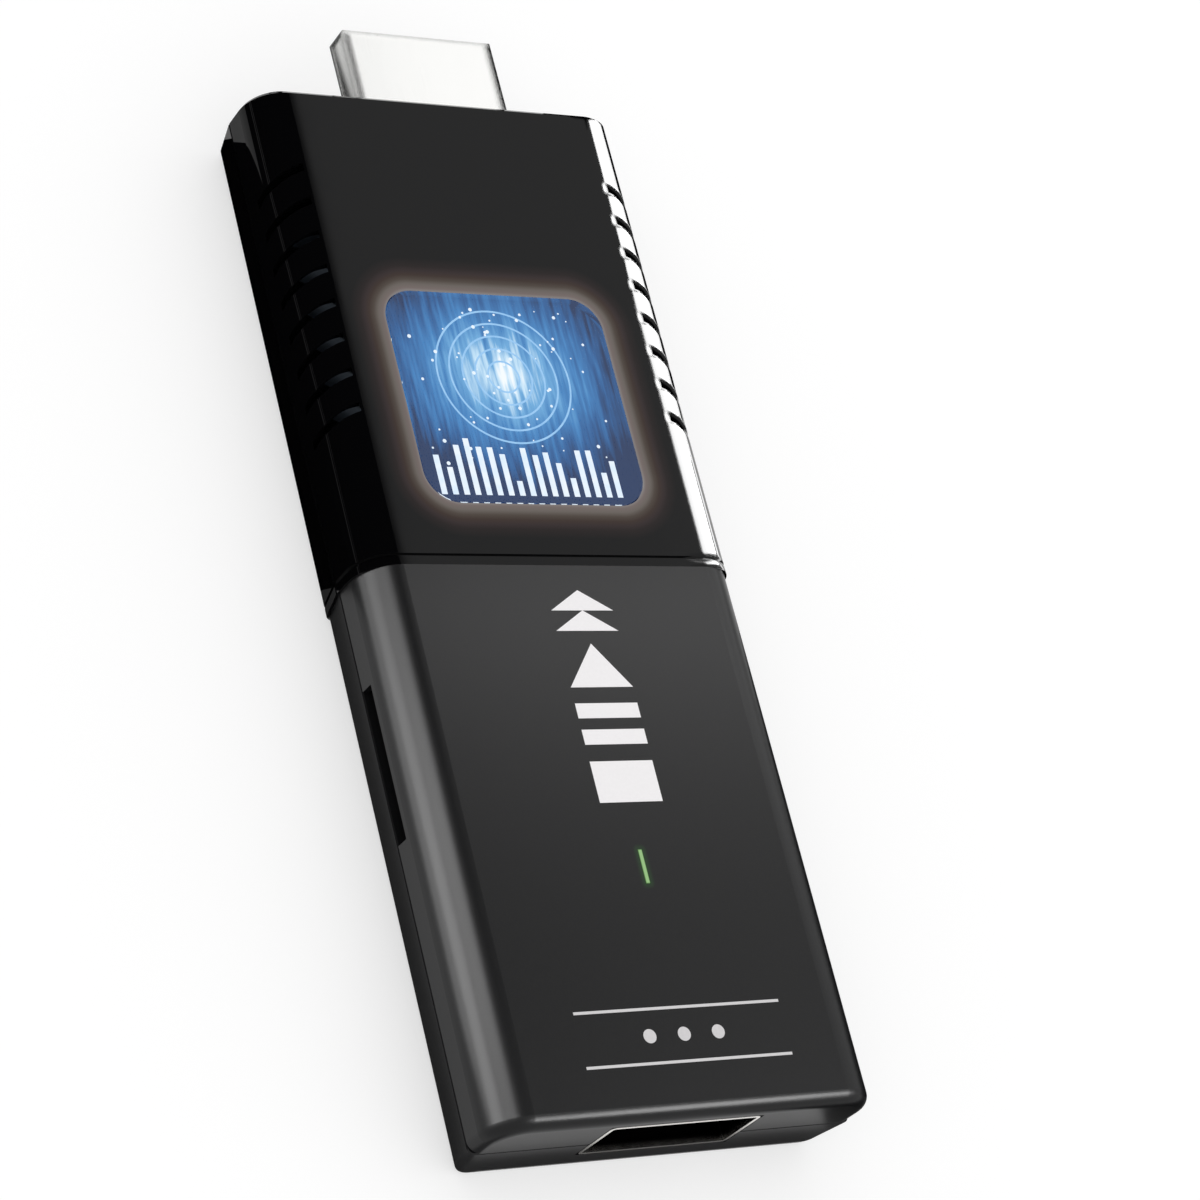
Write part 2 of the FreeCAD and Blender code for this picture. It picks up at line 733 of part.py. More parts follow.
def front_bottom_cover():
    """Glossy lower shell under the processor."""
    body = new_body("front_bottom_cover")
    lower_form(body, FRONT_SIDE, (STEP, FRONT))
    soften(body, MIDDLE, FRONT, STEP, bevel_edges, "front_edge_bevel")
    groove_round(body, tray, "seam_height + groove_width", "groove_depth", "belly_round")
    bottom_inside(body, "front_bottom", STEP, f"{FRONT} - {LAP_INSET}", STEP, f"{FRONT} - end_wall")
    sleeve = section_sketch(body, "front_bottom_sleeve", f"{STEP} + sleeve_length + lap_gap")
    tray(sleeve, f"{SIDE} - {RELIEF_INSET}", f"{LAP_TOP} + lap_gap", RELIEF_INSET,
         f"belly_round - {RELIEF_INSET}")
    pocket(body, sleeve, "front_length", forwards=True)
    port = section_sketch(body, "front_bottom_port", f"{FRONT} + plug_reach")
    centred(port, MIDDLE, f"{BOARD_TOP} - port_gap + body_height / 2", "plug_width + port_gap * 2",
            "body_height")
    pocket(body, port, "plug_reach + end_wall * 1.5", forwards=True)
    screw_boss(body, f"0 - {SCREW_X}", f"{FRONT} - boss_from_front")
    pinned_post(body, SCREW_X, f"{FRONT} - boss_from_front")
    board_ribs(body, f"{STEP} + rib_from_step")
    pieces.append(body)


def bottom_inside(body, word, lip_low, lip_high, low_y, high_y):
    """The lip that stands up inside the seam, and the hollow of a lower shell."""
    lip = plan_sketch(body, word + "_lip", f"{LAP_TOP}")
    rectangle(lip, f"0 - {SIDE} + {LAP_INSET}", f"{SIDE} - {LAP_INSET}", lip_low, lip_high)
    pad(body, lip, "lap_height", backwards=True)
    cavity = section_sketch(body, word + "_cavity", high_y)
    tray(cavity, INNER_SIDE, LAP_TOP, "floor_wall", "belly_round - side_wall")
    pocket(body, cavity, f"{high_y} - ({low_y})", forwards=True)


def rear_top_cover():
    """Matte upper shell over the ports, with the card slot and the light slot."""
    body = new_body("rear_top_cover")
    upper_form(body, SIDE, (REAR, STEP))
    soften(body, "body_height", REAR, STEP, round_edges, "rear_edge_round")
    sleeve = section_sketch(body, "rear_top_sleeve", f"{STEP} + sleeve_length")
    arch(sleeve, f"{SIDE} - {LAP_INSET}", "seam_height", f"body_height - {LAP_INSET}",
         f"shoulder_round - {LAP_INSET}")
    pad(body, sleeve, "sleeve_length * 2")
    cavity = section_sketch(body, "rear_top_cavity", f"{STEP} + sleeve_length")
    arch(cavity, INNER_SIDE, "seam_height", CEILING, "shoulder_round - side_wall")
    pocket(body, cavity, f"{STEP} - {REAR} - end_wall + sleeve_length", forwards=True)
    relief = plan_sketch(body, "rear_top_relief", f"{LAP_TOP} + lap_gap")
    rectangle(relief, f"0 - {SIDE} + {RELIEF_INSET}", f"{SIDE} - {RELIEF_INSET}",
              f"{REAR} + {RELIEF_INSET}", f"{STEP} + sleeve_length * 2")
    pocket(body, relief, "lap_height + lap_gap * 2")
    port = section_sketch(body, "rear_top_port", REAR)
    centred(port, MIDDLE, USB_MIDDLE, "usb_width + port_gap * 2", "usb_height + port_gap * 2")
    pocket(body, port, "end_wall * 1.5")
    card = side_sketch(body, "rear_top_card", f"0 - {SIDE}")
    centred(card, CARD_Y, "seam_height", "slot_width", "slot_height * 2")
    pocket(body, card, "side_wall * 1.5", forwards=True)
    inlet = side_sketch(body, "rear_top_inlet", SIDE)
    centred(inlet, INLET_Y, f"{BOARD_TOP} + inlet_height / 2", "inlet_width + opening_gap * 2",
            "inlet_height + opening_gap * 2")
    pocket(body, inlet, "side_wall * 1.5")
    light = plan_sketch(body, "rear_top_light", "body_height")
    centred(light, "light_aside", LIGHT_Y, "light_width", "light_length")
    pocket(body, light, "roof_wall * 1.5")
    pieces.append(body)


def rear_bottom_cover():
    """Matte lower shell under the ports."""
    body = new_body("rear_bottom_cover")
    lower_form(body, SIDE, (REAR, STEP))
    soften(body, MIDDLE, REAR, STEP, round_edges, "rear_belly_edge")
    sleeve = section_sketch(body, "rear_bottom_sleeve", f"{STEP} + sleeve_length")
    tray(sleeve, f"{SIDE} - {LAP_INSET}", "seam_height", LAP_INSET, f"belly_round - {LAP_INSET}")
    pad(body, sleeve, "sleeve_length * 2")
    bottom_inside(body, "rear_bottom", f"{REAR} + {LAP_INSET}", f"{STEP} + sleeve_length",
                  f"{REAR} + end_wall", f"{STEP} + sleeve_length")
    port = section_sketch(body, "rear_bottom_port", REAR)
    centred(port, MIDDLE, USB_MIDDLE, "usb_width + port_gap * 2", "usb_height + port_gap * 2")
    pocket(body, port, "end_wall * 1.5")
    card = side_sketch(body, "rear_bottom_card", f"0 - {SIDE}")
    centred(card, CARD_Y, f"seam_height + {LAP_TOP}", "slot_width + lip_gap * 2", f"{LAP_TOP} * 2")
    pocket(body, card, "side_wall * 1.5", forwards=True)
    inlet = side_sketch(body, "rear_bottom_inlet", SIDE)
    centred(inlet, INLET_Y, f"{BOARD_TOP} + inlet_height / 2", "inlet_width + opening_gap * 2",
            "inlet_height + opening_gap * 2")
    pocket(body, inlet, "side_wall * 1.5")
    screw_boss(body, SCREW_X, f"{REAR} + boss_from_rear")
    pinned_post(body, f"0 - {SCREW_X}", f"{REAR} + boss_from_rear")
    board_ribs(body, f"{STEP} - rib_from_step")
    pieces.append(body)


front_top_cover()
front_bottom_cover()
rear_top_cover()
rear_bottom_cover()


# Lit window and status light

SPREADER_TOP = f"({BOARD_TOP} + processor_height + pad_thick + spreader_thick)"
FLANGE_LOW = f"({CEILING} - flange_thick)"
GUIDE_LOW = f"({SPREADER_TOP} + reflector_thick)"


def window_lens():
    """Clear lens, flush with the roof, held by a flange under it."""
    body = new_body("window_lens")
    flange = plan_sketch(body, "lens_flange", FLANGE_LOW)
    rounded(flange, MIDDLE, WINDOW_Y, "window_width + flange_reach * 2", "window_length + flange_reach * 2",
            "window_round + flange_reach")
    pad(body, flange, "flange_thick")
    lens = plan_sketch(body, "lens_face", CEILING)
    rounded(lens, MIDDLE, WINDOW_Y, "window_width - lens_gap * 2", "window_length - lens_gap * 2",
            "window_round - lens_gap")
    pad(body, lens, "roof_wall")
    pieces.append(body)


def window_layer(name, low, height):
    """A flat sheet as large as the lens flange."""
    body = new_body(name)
    sheet_outline = plan_sketch(body, name + "_outline", low)
    rounded(sheet_outline, MIDDLE, WINDOW_Y, "window_width + flange_reach", "window_length + flange_reach",
            "window_round")
    pad(body, sheet_outline, height)
    pieces.append(body)


def backlight_leds():
    """Three edge lamps on a strip that stands behind the light guide."""
    edge = f"({WINDOW_Y} - (window_length + flange_reach) / 2 - lamp_gap)"
    strip_height = f"({FLANGE_LOW} - strip_roof_gap - {SPREADER_TOP})"
    strip = block("lamp_strip", MIDDLE, f"{edge} - lamp_depth - strip_thick / 2", SPREADER_TOP,
                  "strip_length", "strip_thick", strip_height)
    lamps = [block(f"lamp_{number}", f"lamp_pitch * ({number} - 1)", f"{edge} - lamp_depth / 2",
                   SPREADER_TOP, "lamp_width", "lamp_depth", f"{strip_height} - lamp_drop")
             for number in range(3)]
    joined = doc.addObject("Part::MultiFuse", "backlight_leds")
    joined.Shapes = [strip] + lamps
    joined.Label = "backlight_leds"
    pieces.append(joined)


def status_light():
    """Light pipe from the roof's slot down to the lamp on the board."""
    led_top = f"({BOARD_TOP} + led_height + led_air)"
    body = new_body("light_pipe")
    stem = plan_sketch(body, "pipe_stem", led_top)
    centred(stem, "light_aside", LIGHT_Y, "pipe_body_width", "pipe_body_length")
    pad(body, stem, f"{CEILING} - {led_top}")
    face = plan_sketch(body, "pipe_face", CEILING)
    centred(face, "light_aside", LIGHT_Y, "light_width - light_gap * 2", "light_length - light_gap * 2")
    pad(body, face, "roof_wall")
    pieces.append(body)
    lamp = block("status_led", "light_aside", LIGHT_Y, BOARD_TOP, "led_width", "led_length", "led_height")
    pieces.append(lamp)


window_lens()
window_layer("picture_film", f"{FLANGE_LOW} - film_thick", "film_thick")
window_layer("light_guide", GUIDE_LOW, f"{FLANGE_LOW} - film_thick - {GUIDE_LOW}")
window_layer("reflector_film", SPREADER_TOP, "reflector_thick")
backlight_leds()
status_light()


# Circuit board and its screws

BOARD_HALF = f"({SIDE} - {BOARD_INSET})"
BOARD_REAR = f"({REAR} + end_wall + board_gap)"
BOARD_FRONT = f"({FRONT} - end_wall - board_gap)"


def circuit_board():
    """Board with a notch for the sunk receptacle, two screw holes and two pin holes."""
    body = new_body("circuit_board")
    notch = "(usb_width / 2 + notch_gap)"
    inner = f"({REAR} + usb_depth + notch_gap)"
    plan = plan_sketch(body, "board_plan", BOARD_LOW)
    outline(plan, [
        (f"0 - {BOARD_HALF}", BOARD_REAR),
        (f"0 - {notch}", BOARD_REAR),
        (f"0 - {notch}", inner),
        (notch, inner),
        (notch, BOARD_REAR),
        (BOARD_HALF, BOARD_REAR),
        (BOARD_HALF, BOARD_FRONT),
        (f"0 - {BOARD_HALF}", BOARD_FRONT),
    ])
    pad(body, plan, "board_thick")
    holes = plan_sketch(body, "board_holes", BOARD_TOP)
    circle(holes, f"0 - {SCREW_X}", f"{FRONT} - boss_from_front", "screw_radius + pin_gap")
    circle(holes, SCREW_X, f"{REAR} + boss_from_rear", "screw_radius + pin_gap")
    circle(holes, SCREW_X, f"{FRONT} - boss_from_front", "pin_radius + pin_gap")
    circle(holes, f"0 - {SCREW_X}", f"{REAR} + boss_from_rear", "pin_radius + pin_gap")
    pocket(body, holes, "board_thick")
    pieces.append(body)


def board_screw(name, x, y):
    """Pan head self-tapping screw with a cross recess."""
    shank = rod(name + "_shank", x, y, f"{BOARD_TOP} - screw_length", "screw_radius", "screw_length")
    head = rod(name + "_head", x, y, BOARD_TOP, "head_radius", "head_height")
    whole = doc.addObject("Part::Fuse", name + "_whole")
    whole.Base = shank
    whole.Tool = head
    floor = f"{BOARD_TOP} + head_height - recess_depth"
    across = block(name + "_across", x, y, floor, "recess_length", "recess_width", "recess_depth")
    along = block(name + "_along", x, y, floor, "recess_width", "recess_length", "recess_depth")
    recess = doc.addObject("Part::Fuse", name + "_recess")
    recess.Base = across
    recess.Tool = along
    screw = doc.addObject("Part::Cut", name)
    screw.Base = whole
    screw.Tool = recess
    return screw


circuit_board()
pieces.append(group("board_screws", [
    board_screw("front_screw", f"0 - {SCREW_X}", f"{FRONT} - boss_from_front"),
    board_screw("rear_screw", SCREW_X, f"{REAR} + boss_from_rear"),
]))


# HDMI plug

PLUG_BACK = f"({FRONT} - plug_inside)"
PLUG_FACE = f"({TIP} - plug_lip)"
SLOT_MIDDLE = f"({BOARD_TOP} + plug_height / 2)"


def plug_outline(inset):
    """Corners of the plug's section, moved inwards by one even inset."""
    drop = "(plug_height - plug_side)"
    slope = f"sqrt(plug_taper * plug_taper + {drop} * {drop})"
    wide = f"(plug_width / 2 - ({inset}))"
    shoulder = f"({BOARD_TOP} + {drop} + ({inset}) * ({slope} - {drop}) / plug_taper)"
    foot = f"(plug_width / 2 - plug_taper - ({inset}) * ({slope} - plug_taper) / {drop})"
    low = f"({BOARD_TOP} + ({inset}))"
    high = f"({PLUG_TOP} - ({inset}))"
    return [(f"0 - {foot}", low), (foot, low), (wide, shoulder), (wide, high), (f"0 - {wide}", high),
            (f"0 - {wide}", shoulder)]


def hdmi_shell():
    """Formed sheet metal plug with tapered lower corners, open at both ends."""
    body = new_body("hdmi_shell")
    section = section_sketch(body, "plug_section", TIP)
    outline(section, plug_outline("0"))
    outline(section, plug_outline("plug_sheet"))
    pad(body, section, "plug_reach + plug_inside")
    pieces.append(body)


def hdmi_insulator():
    """Moulded block that fills the plug, with the slot that takes a receptacle's tongue."""
    body = new_body("hdmi_insulator")
    section = section_sketch(body, "plug_filling", PLUG_FACE)
    outline(section, plug_outline("plug_sheet"))
    pad(body, section, f"{PLUG_FACE} - {PLUG_BACK}")
    slot = section_sketch(body, "plug_slot", PLUG_FACE)
    centred(slot, MIDDLE, SLOT_MIDDLE, "plug_slot_width", "plug_slot_height")
    pocket(body, slot, "plug_slot_depth", forwards=True)
    pieces.append(body)


def hdmi_contacts():
    """Ten contacts on the slot's roof and nine on its floor, each with its tail on the board."""
    strips = []
    for row, count in (("upper", 10), ("lower", 9)):
        if row == "upper":
            low = f"{SLOT_MIDDLE} + plug_slot_height / 2 - plug_pin_thick"
        else:
            low = f"{SLOT_MIDDLE} - plug_slot_height / 2"
        y = f"{PLUG_FACE} - plug_lip - plug_pin_length / 2"
        for number in range(count):
            x = f"(plug_pin_pitch * ({number} - {(count - 1) / 2}))"
            strips.append(block(f"plug_{row}_{number}", x, y, low, "plug_pin_width", "plug_pin_length",
                                "plug_pin_thick"))
    for number in range(19):
        x = f"(plug_pin_pitch / 2 * ({number} - 9))"
        strips.append(block(f"plug_tail_{number}", x, f"{PLUG_BACK} - plug_tail_length / 2", BOARD_TOP,
                            "plug_pin_width / 2", "plug_tail_length", "plug_pin_thick"))
    pieces.append(group("hdmi_contacts", strips))


hdmi_shell()
hdmi_insulator()
hdmi_contacts()


# USB receptacle

USB_MOUTH = REAR
TONGUE_TOP = f"({USB_TOP} - usb_sheet - tongue_drop)"


def usb_shell():
    """Sunk receptacle shell, open at both ends, with four solder tabs that lie on the board."""
    body = new_body("usb_shell")
    section = section_sketch(body, "usb_section", USB_END)
    rounded(section, MIDDLE, USB_MIDDLE, "usb_width", "usb_height", "usb_round")
    rounded(section, MIDDLE, USB_MIDDLE, "usb_width - usb_sheet * 2", "usb_height - usb_sheet * 2",
            "usb_round - usb_sheet")
    pad(body, section, "usb_depth")
    tabs = plan_sketch(body, "usb_tabs", BOARD_TOP)
    for place in ("0", "tab_spacing"):
        low_y = f"{USB_MOUTH} + tab_from_mouth + {place}"
        inner = "(usb_width / 2 - usb_sheet / 2)"
        outer = "(usb_width / 2 + tab_reach)"
        rectangle(tabs, inner, outer, low_y, f"{low_y} + tab_length")
        rectangle(tabs, f"0 - {outer}", f"0 - {inner}", low_y, f"{low_y} + tab_length")
    pad(body, tabs, "tab_thick")
    pieces.append(body)


def usb_insulator():
    """Block that closes the receptacle's back, with the tongue that reaches to its mouth."""
    body = new_body("usb_insulator")
    back = section_sketch(body, "usb_block", USB_END)
    rounded(back, MIDDLE, USB_MIDDLE, "usb_width - usb_sheet * 2", "usb_height - usb_sheet * 2",
            "usb_round - usb_sheet")
    pad(body, back, "usb_back")
    tongue = section_sketch(body, "usb_tongue", USB_END)
    centred(tongue, MIDDLE, f"{TONGUE_TOP} - tongue_thick / 2", "tongue_width", "tongue_thick")
    pad(body, tongue, "usb_depth - tongue_set_back")
    tip = edges_at(body.Shape, y=f"{USB_MOUTH} + tongue_set_back", z=TONGUE_TOP)
    tip += edges_at(body.Shape, y=f"{USB_MOUTH} + tongue_set_back", z=f"{TONGUE_TOP} - tongue_thick")
    bevel_edges(body, tip, "usb_sheet")
    pieces.append(body)


def usb_contacts():
    """Four contacts under the tongue, the two outer ones further apart."""
    low = f"{TONGUE_TOP} - tongue_thick - usb_pin_thick"
    y = f"{USB_END} - usb_back - usb_pin_length / 2"
    places = ("0 - usb_pin_pitch * 1.4", "0 - usb_pin_pitch * 0.4", "usb_pin_pitch * 0.4",
              "usb_pin_pitch * 1.4")
    strips = [block(f"usb_strip_{number}", x, y, low, "usb_pin_width", "usb_pin_length", "usb_pin_thick")
              for number, x in enumerate(places)]
    pieces.append(group("usb_contacts", strips))


usb_shell()
usb_insulator()
usb_contacts()


# Micro-USB power inlet, on the right side

INLET_MOUTH = f"({SIDE} - inlet_recess)"


def inlet_outline(inset):
    """Corners of the inlet's section about its place on the side wall, moved inwards."""
    drop = "(inlet_height - inlet_side)"
    slope = f"sqrt(inlet_taper * inlet_taper + {drop} * {drop})"
    wide = f"(inlet_width / 2 - ({inset}))"
    shoulder = f"({BOARD_TOP} + {drop} + ({inset}) * ({slope} - {drop}) / inlet_taper)"
    foot = f"(inlet_width / 2 - inlet_taper - ({inset}) * ({slope} - inlet_taper) / {drop})"
    low = f"({BOARD_TOP} + ({inset}))"
    high = f"({BOARD_TOP} + inlet_height - ({inset}))"
    half = [(foot, low), (wide, shoulder), (wide, high)]
    other = [(f"0 - {x}", z) for x, z in reversed(half)]
    return [(f"{INLET_Y} + ({x})", z) for x, z in half + other]


def micro_usb():
    """Shell, insulator and contacts of the power inlet."""
    shell = new_body("micro_usb_shell")
    section = side_sketch(shell, "inlet_section", f"{INLET_MOUTH} - inlet_depth")
    outline(section, inlet_outline("0"))
    outline(section, inlet_outline("inlet_sheet"))
    pad(shell, section, "inlet_depth")
    pieces.append(shell)

    insulator = new_body("micro_usb_insulator")
    back = side_sketch(insulator, "inlet_block", f"{INLET_MOUTH} - inlet_depth")
    outline(back, inlet_outline("inlet_sheet"))
    pad(insulator, back, "inlet_depth - inlet_tongue_length - inlet_recess / 2")
    tongue_z = f"({BOARD_TOP} + inlet_height / 2)"
    tongue = side_sketch(insulator, "inlet_tongue", f"{INLET_MOUTH} - inlet_depth")
    centred(tongue, INLET_Y, tongue_z, "inlet_tongue_width", "inlet_tongue_thick")
    pad(insulator, tongue, "inlet_depth - inlet_recess / 2")
    pieces.append(insulator)

    strips = [block(f"inlet_strip_{number}",
                    f"{INLET_MOUTH} - inlet_recess / 2 - inlet_tongue_length / 2",
                    f"{INLET_Y} + inlet_pin_pitch * ({number} - 2)",
                    f"{tongue_z} - inlet_tongue_thick / 2 - inlet_pin_thick",
                    "inlet_tongue_length", "inlet_pin_width", "inlet_pin_thick") for number in range(5)]
    pieces.append(group("micro_usb_contacts", strips))


micro_usb()


# Memory card socket, a push-push type: its slider is the one piece that moves

SOCKET_MOUTH = f"(0 - {INNER_SIDE} + socket_recess)"
SOCKET_END = f"({SOCKET_MOUTH} + socket_depth)"
SOCKET_Y = f"({CARD_Y} + lane_width / 2)"
SOCKET_HALF = "(socket_width / 2 - socket_sheet)"
PLATE_TOP = f"({BOARD_TOP} + socket_plate)"
LID_LOW = f"({BOARD_TOP} + socket_height - socket_sheet)"
LANE_HIGH = f"({SOCKET_Y} + {SOCKET_HALF} - socket_rail)"
LANE_Y = f"({LANE_HIGH} - lane_width / 2)"
SPRING_END = f"({SOCKET_END} - socket_back)"
SLIDER_FRONT = f"({SOCKET_MOUTH} + slider_from_mouth)"
SLIDER_BACK = f"({SLIDER_FRONT} + slider_length)"


def tf_base():
    """Plastic floor with two rails and a back wall."""
    body = new_body("tf_base")
    floor = plan_sketch(body, "socket_floor", BOARD_TOP)
    rectangle(floor, SOCKET_MOUTH, SOCKET_END, f"{SOCKET_Y} - {SOCKET_HALF}", f"{SOCKET_Y} + {SOCKET_HALF}")
    pad(body, floor, f"{LID_LOW} - {BOARD_TOP}")
    room = plan_sketch(body, "socket_room", LID_LOW)
    rectangle(room, f"{SOCKET_MOUTH} - socket_back", SPRING_END,
              f"{SOCKET_Y} - {SOCKET_HALF} + socket_rail", LANE_HIGH)
    pocket(body, room, f"{LID_LOW} - {PLATE_TOP}")
    pieces.append(body)


def tf_shell():
    """Sheet metal lid, folded down over both rails, with two spring windows."""
    body = new_body("tf_shell")
    section = side_sketch(body, "lid_section", SOCKET_MOUTH)
    wide = "(socket_width / 2)"
    top = f"({BOARD_TOP} + socket_height)"
    outline(section, [
        (f"{SOCKET_Y} - {wide}", BOARD_TOP),
        (f"{SOCKET_Y} - {SOCKET_HALF}", BOARD_TOP),
        (f"{SOCKET_Y} - {SOCKET_HALF}", LID_LOW),
        (f"{SOCKET_Y} + {SOCKET_HALF}", LID_LOW),
        (f"{SOCKET_Y} + {SOCKET_HALF}", BOARD_TOP),
        (f"{SOCKET_Y} + {wide}", BOARD_TOP),
        (f"{SOCKET_Y} + {wide}", top),
        (f"{SOCKET_Y} - {wide}", top),
    ])
    pad(body, section, "socket_depth")
    windows = plan_sketch(body, "lid_windows", top)
    for side in ("0 - ", ""):
        centred(windows, f"{SOCKET_MOUTH} + socket_depth / 3", f"({SOCKET_Y} + {side}card_pin_pitch * 2)",
                "card_pin_length", "card_pin_pitch")
    pocket(body, windows, "socket_sheet")
    pieces.append(body)


def tf_contacts():
    """Eight contact strips on the socket's floor."""
    middle = f"({SOCKET_Y} - (lane_width + toe_reach) / 2)"
    x = f"{SPRING_END} - card_pin_from_back - card_pin_length / 2"
    strips = [block(f"card_strip_{number}", x,
                    f"{middle} + card_pin_pitch * ({number} - (card_pin_count - 1) / 2)", PLATE_TOP,
                    "card_pin_length", "card_pin_width", "card_pin_thick")
              for number in range(int(value("card_pin_count")))]
    pieces.append(group("tf_contacts", strips))


def tf_slider():
    """Slider with the toe that the card pushes, and the channel that the cam pin runs in."""
    body = new_body("tf_slider")
    low_y = f"({LANE_Y} - lane_width / 2 + slider_gap)"
    high_y = f"({LANE_HIGH} - slider_gap)"
    plan = plan_sketch(body, "slider_plan", f"{PLATE_TOP} + slider_gap")
    outline(plan, [
        (SLIDER_FRONT, low_y),
        (SLIDER_FRONT, high_y),
        (SLIDER_BACK, high_y),
        (SLIDER_BACK, f"{low_y} - toe_reach"),
        (f"{SLIDER_BACK} - toe_length", f"{low_y} - toe_reach"),
        (f"{SLIDER_BACK} - toe_length", low_y),
    ])
    pad(body, plan, f"{LID_LOW} - {PLATE_TOP} - slider_gap * 2")
    channel = plan_sketch(body, "slider_channel", f"{LID_LOW} - slider_gap")
    rectangle(channel, f"{SLIDER_FRONT} + slider_gap", f"{SLIDER_BACK} + slider_gap",
              f"{LANE_Y} - cam_aside - cam_wire - slider_gap",
              f"{LANE_Y} - cam_aside + cam_wire + slider_gap")
    pocket(body, channel, "cam_rise + cam_wire * 2")
    pieces.append(body)


SECTIONS_A_TURN = 8


def tf_spring():
    """Return spring between the slider and the socket's back wall: one unbroken square wire,
    a ruled loft through square sections."""
    half_wire = value("spring_wire")
    radius = value("spring_radius")
    length = value(f"{SPRING_END} - {SLIDER_BACK}")
    turns = value("spring_turns")
    climb = (length - 2 * half_wire) / turns
    middle_y = value(f"{LANE_Y} + spring_aside")
    middle_z = value(f"({PLATE_TOP} + {LID_LOW}) / 2")
    sections = []
    for step in range(int(turns * SECTIONS_A_TURN) + 1):
        angle = 2 * math.pi * step / SECTIONS_A_TURN
        outward = Vector(0, math.cos(angle), math.sin(angle))
        along = Vector(half_wire, 0, 0)
        place_x = value(SLIDER_BACK) + half_wire + climb * step / SECTIONS_A_TURN
        centre = Vector(place_x, middle_y, middle_z) + outward * radius
        edge = outward * half_wire
        corners = [centre - along - edge, centre + along - edge,
                   centre + along + edge, centre - along + edge]
        sections.append(Part.makePolygon(corners + corners[:1]))
    spring = doc.addObject("Part::Feature", "tf_spring")
    spring.Shape = Part.makeLoft(sections, True, True)
    spring.Label = "tf_spring"
    print("spring gap between turns", round(climb - 2 * half_wire, 3))
    pieces.append(spring)


def tf_cam_pin():
    """Square wire link: its free end runs in the slider's channel, its foot stands in the base."""
    level = f"({LID_LOW} - slider_gap - cam_rise)"
    foot_x = f"({SPRING_END} - cam_from_back)"
    start_x = f"({SLIDER_BACK} - cam_wire * 2)"
    y = f"({LANE_Y} - cam_aside)"
    bar = block("cam_bar", f"({start_x} + {foot_x}) / 2", y, f"{level} - cam_wire", f"{foot_x} - {start_x}",
                "cam_wire * 2", "cam_wire * 2")
    foot = block("cam_foot", foot_x, y, PLATE_TOP, "cam_wire * 2", "cam_wire * 2",
                 f"{level} + cam_wire - {PLATE_TOP}")
    pin = doc.addObject("Part::Fuse", "tf_cam_pin")
    pin.Base = bar
    pin.Tool = foot
    pin.Label = "tf_cam_pin"
    pieces.append(pin)


tf_base()
tf_shell()
tf_contacts()
tf_slider()
tf_spring()
tf_cam_pin()


# Packages on the board

def soft_block(name, x, y, low, width, length, height, corner):
    """A flat package with round upright corners."""
    body = new_body(name)
    plan = plan_sketch(body, name + "_plan", low)
    rounded(plan, x, y, width, length, corner)
    pad(body, plan, height)
    return body


def shield_can():
    """Pressed can over the wireless module, open below, with four vent slits."""
    x = f"({BOARD_HALF} - can_edge - can_width / 2)"
    y = f"({USB_END} + can_gap + can_length / 2)"
    body = soft_block("wireless_can", x, y, BOARD_TOP, "can_width", "can_length", "can_height", "can_round")
    room = plan_sketch(body, "can_room", BOARD_TOP)
    rounded(room, x, y, "can_width - can_sheet * 2", "can_length - can_sheet * 2", "can_round - can_sheet")
    pocket(body, room, "can_height - can_sheet", forwards=True)
    slits = plan_sketch(body, "can_slits", f"{BOARD_TOP} + can_height")
    for across in ("0 - can_width / 4", "can_width / 4"):
        for along in ("0 - can_length / 4", "can_length / 4"):
            centred(slits, f"({x} + {across})", f"({y} + {along})", "can_slit_length", "can_slit_width")
    pocket(body, slits, "can_sheet")
    pieces.append(body)


def inductors():
    """Two power inductors: square bodies with bevelled upright corners."""
    y = f"({USB_END} + coil_gap + coil_size / 2)"
    coils = []
    for number in range(2):
        x = f"(0 - {BOARD_HALF} + coil_edge + coil_size / 2 + coil_pitch * {number})"
        body = new_body(f"inductor_{number}")
        plan = plan_sketch(body, f"inductor_plan_{number}", BOARD_TOP)
        centred(plan, x, y, "coil_size", "coil_size")
        pad(body, plan, "coil_height")
        names = []
        for across in ("+", "-"):
            for along in ("+", "-"):
                names += edges_at(body.Shape, x=f"{x} {across} coil_size / 2",
                                  y=f"{y} {along} coil_size / 2")
        bevel_edges(body, names, "coil_corner")
        coils.append(body)
    pieces.append(group("inductors", coils))


PROCESSOR_TOP = f"({BOARD_TOP} + processor_height)"
pieces.append(block("processor", MIDDLE, WINDOW_Y, BOARD_TOP, "processor_size", "processor_size",
                    "processor_height"))
pieces.append(block("thermal_pad", MIDDLE, WINDOW_Y, PROCESSOR_TOP, "pad_size", "pad_size", "pad_thick"))
pieces.append(soft_block("heat_spreader", MIDDLE, WINDOW_Y, f"{PROCESSOR_TOP} + pad_thick",
                         f"({INNER_SIDE} - spreader_gap) * 2", "spreader_length", "spreader_thick",
                         "spreader_round"))
MEMORY_X = f"({BOARD_HALF} - memory_edge - memory_width / 2)"
pieces.append(group("memory_chips", [
    block(f"memory_{word}", x, WINDOW_Y, BOARD_TOP, "memory_width", "memory_length", "memory_height")
    for word, x in (("left", f"0 - {MEMORY_X}"), ("right", MEMORY_X))
]))
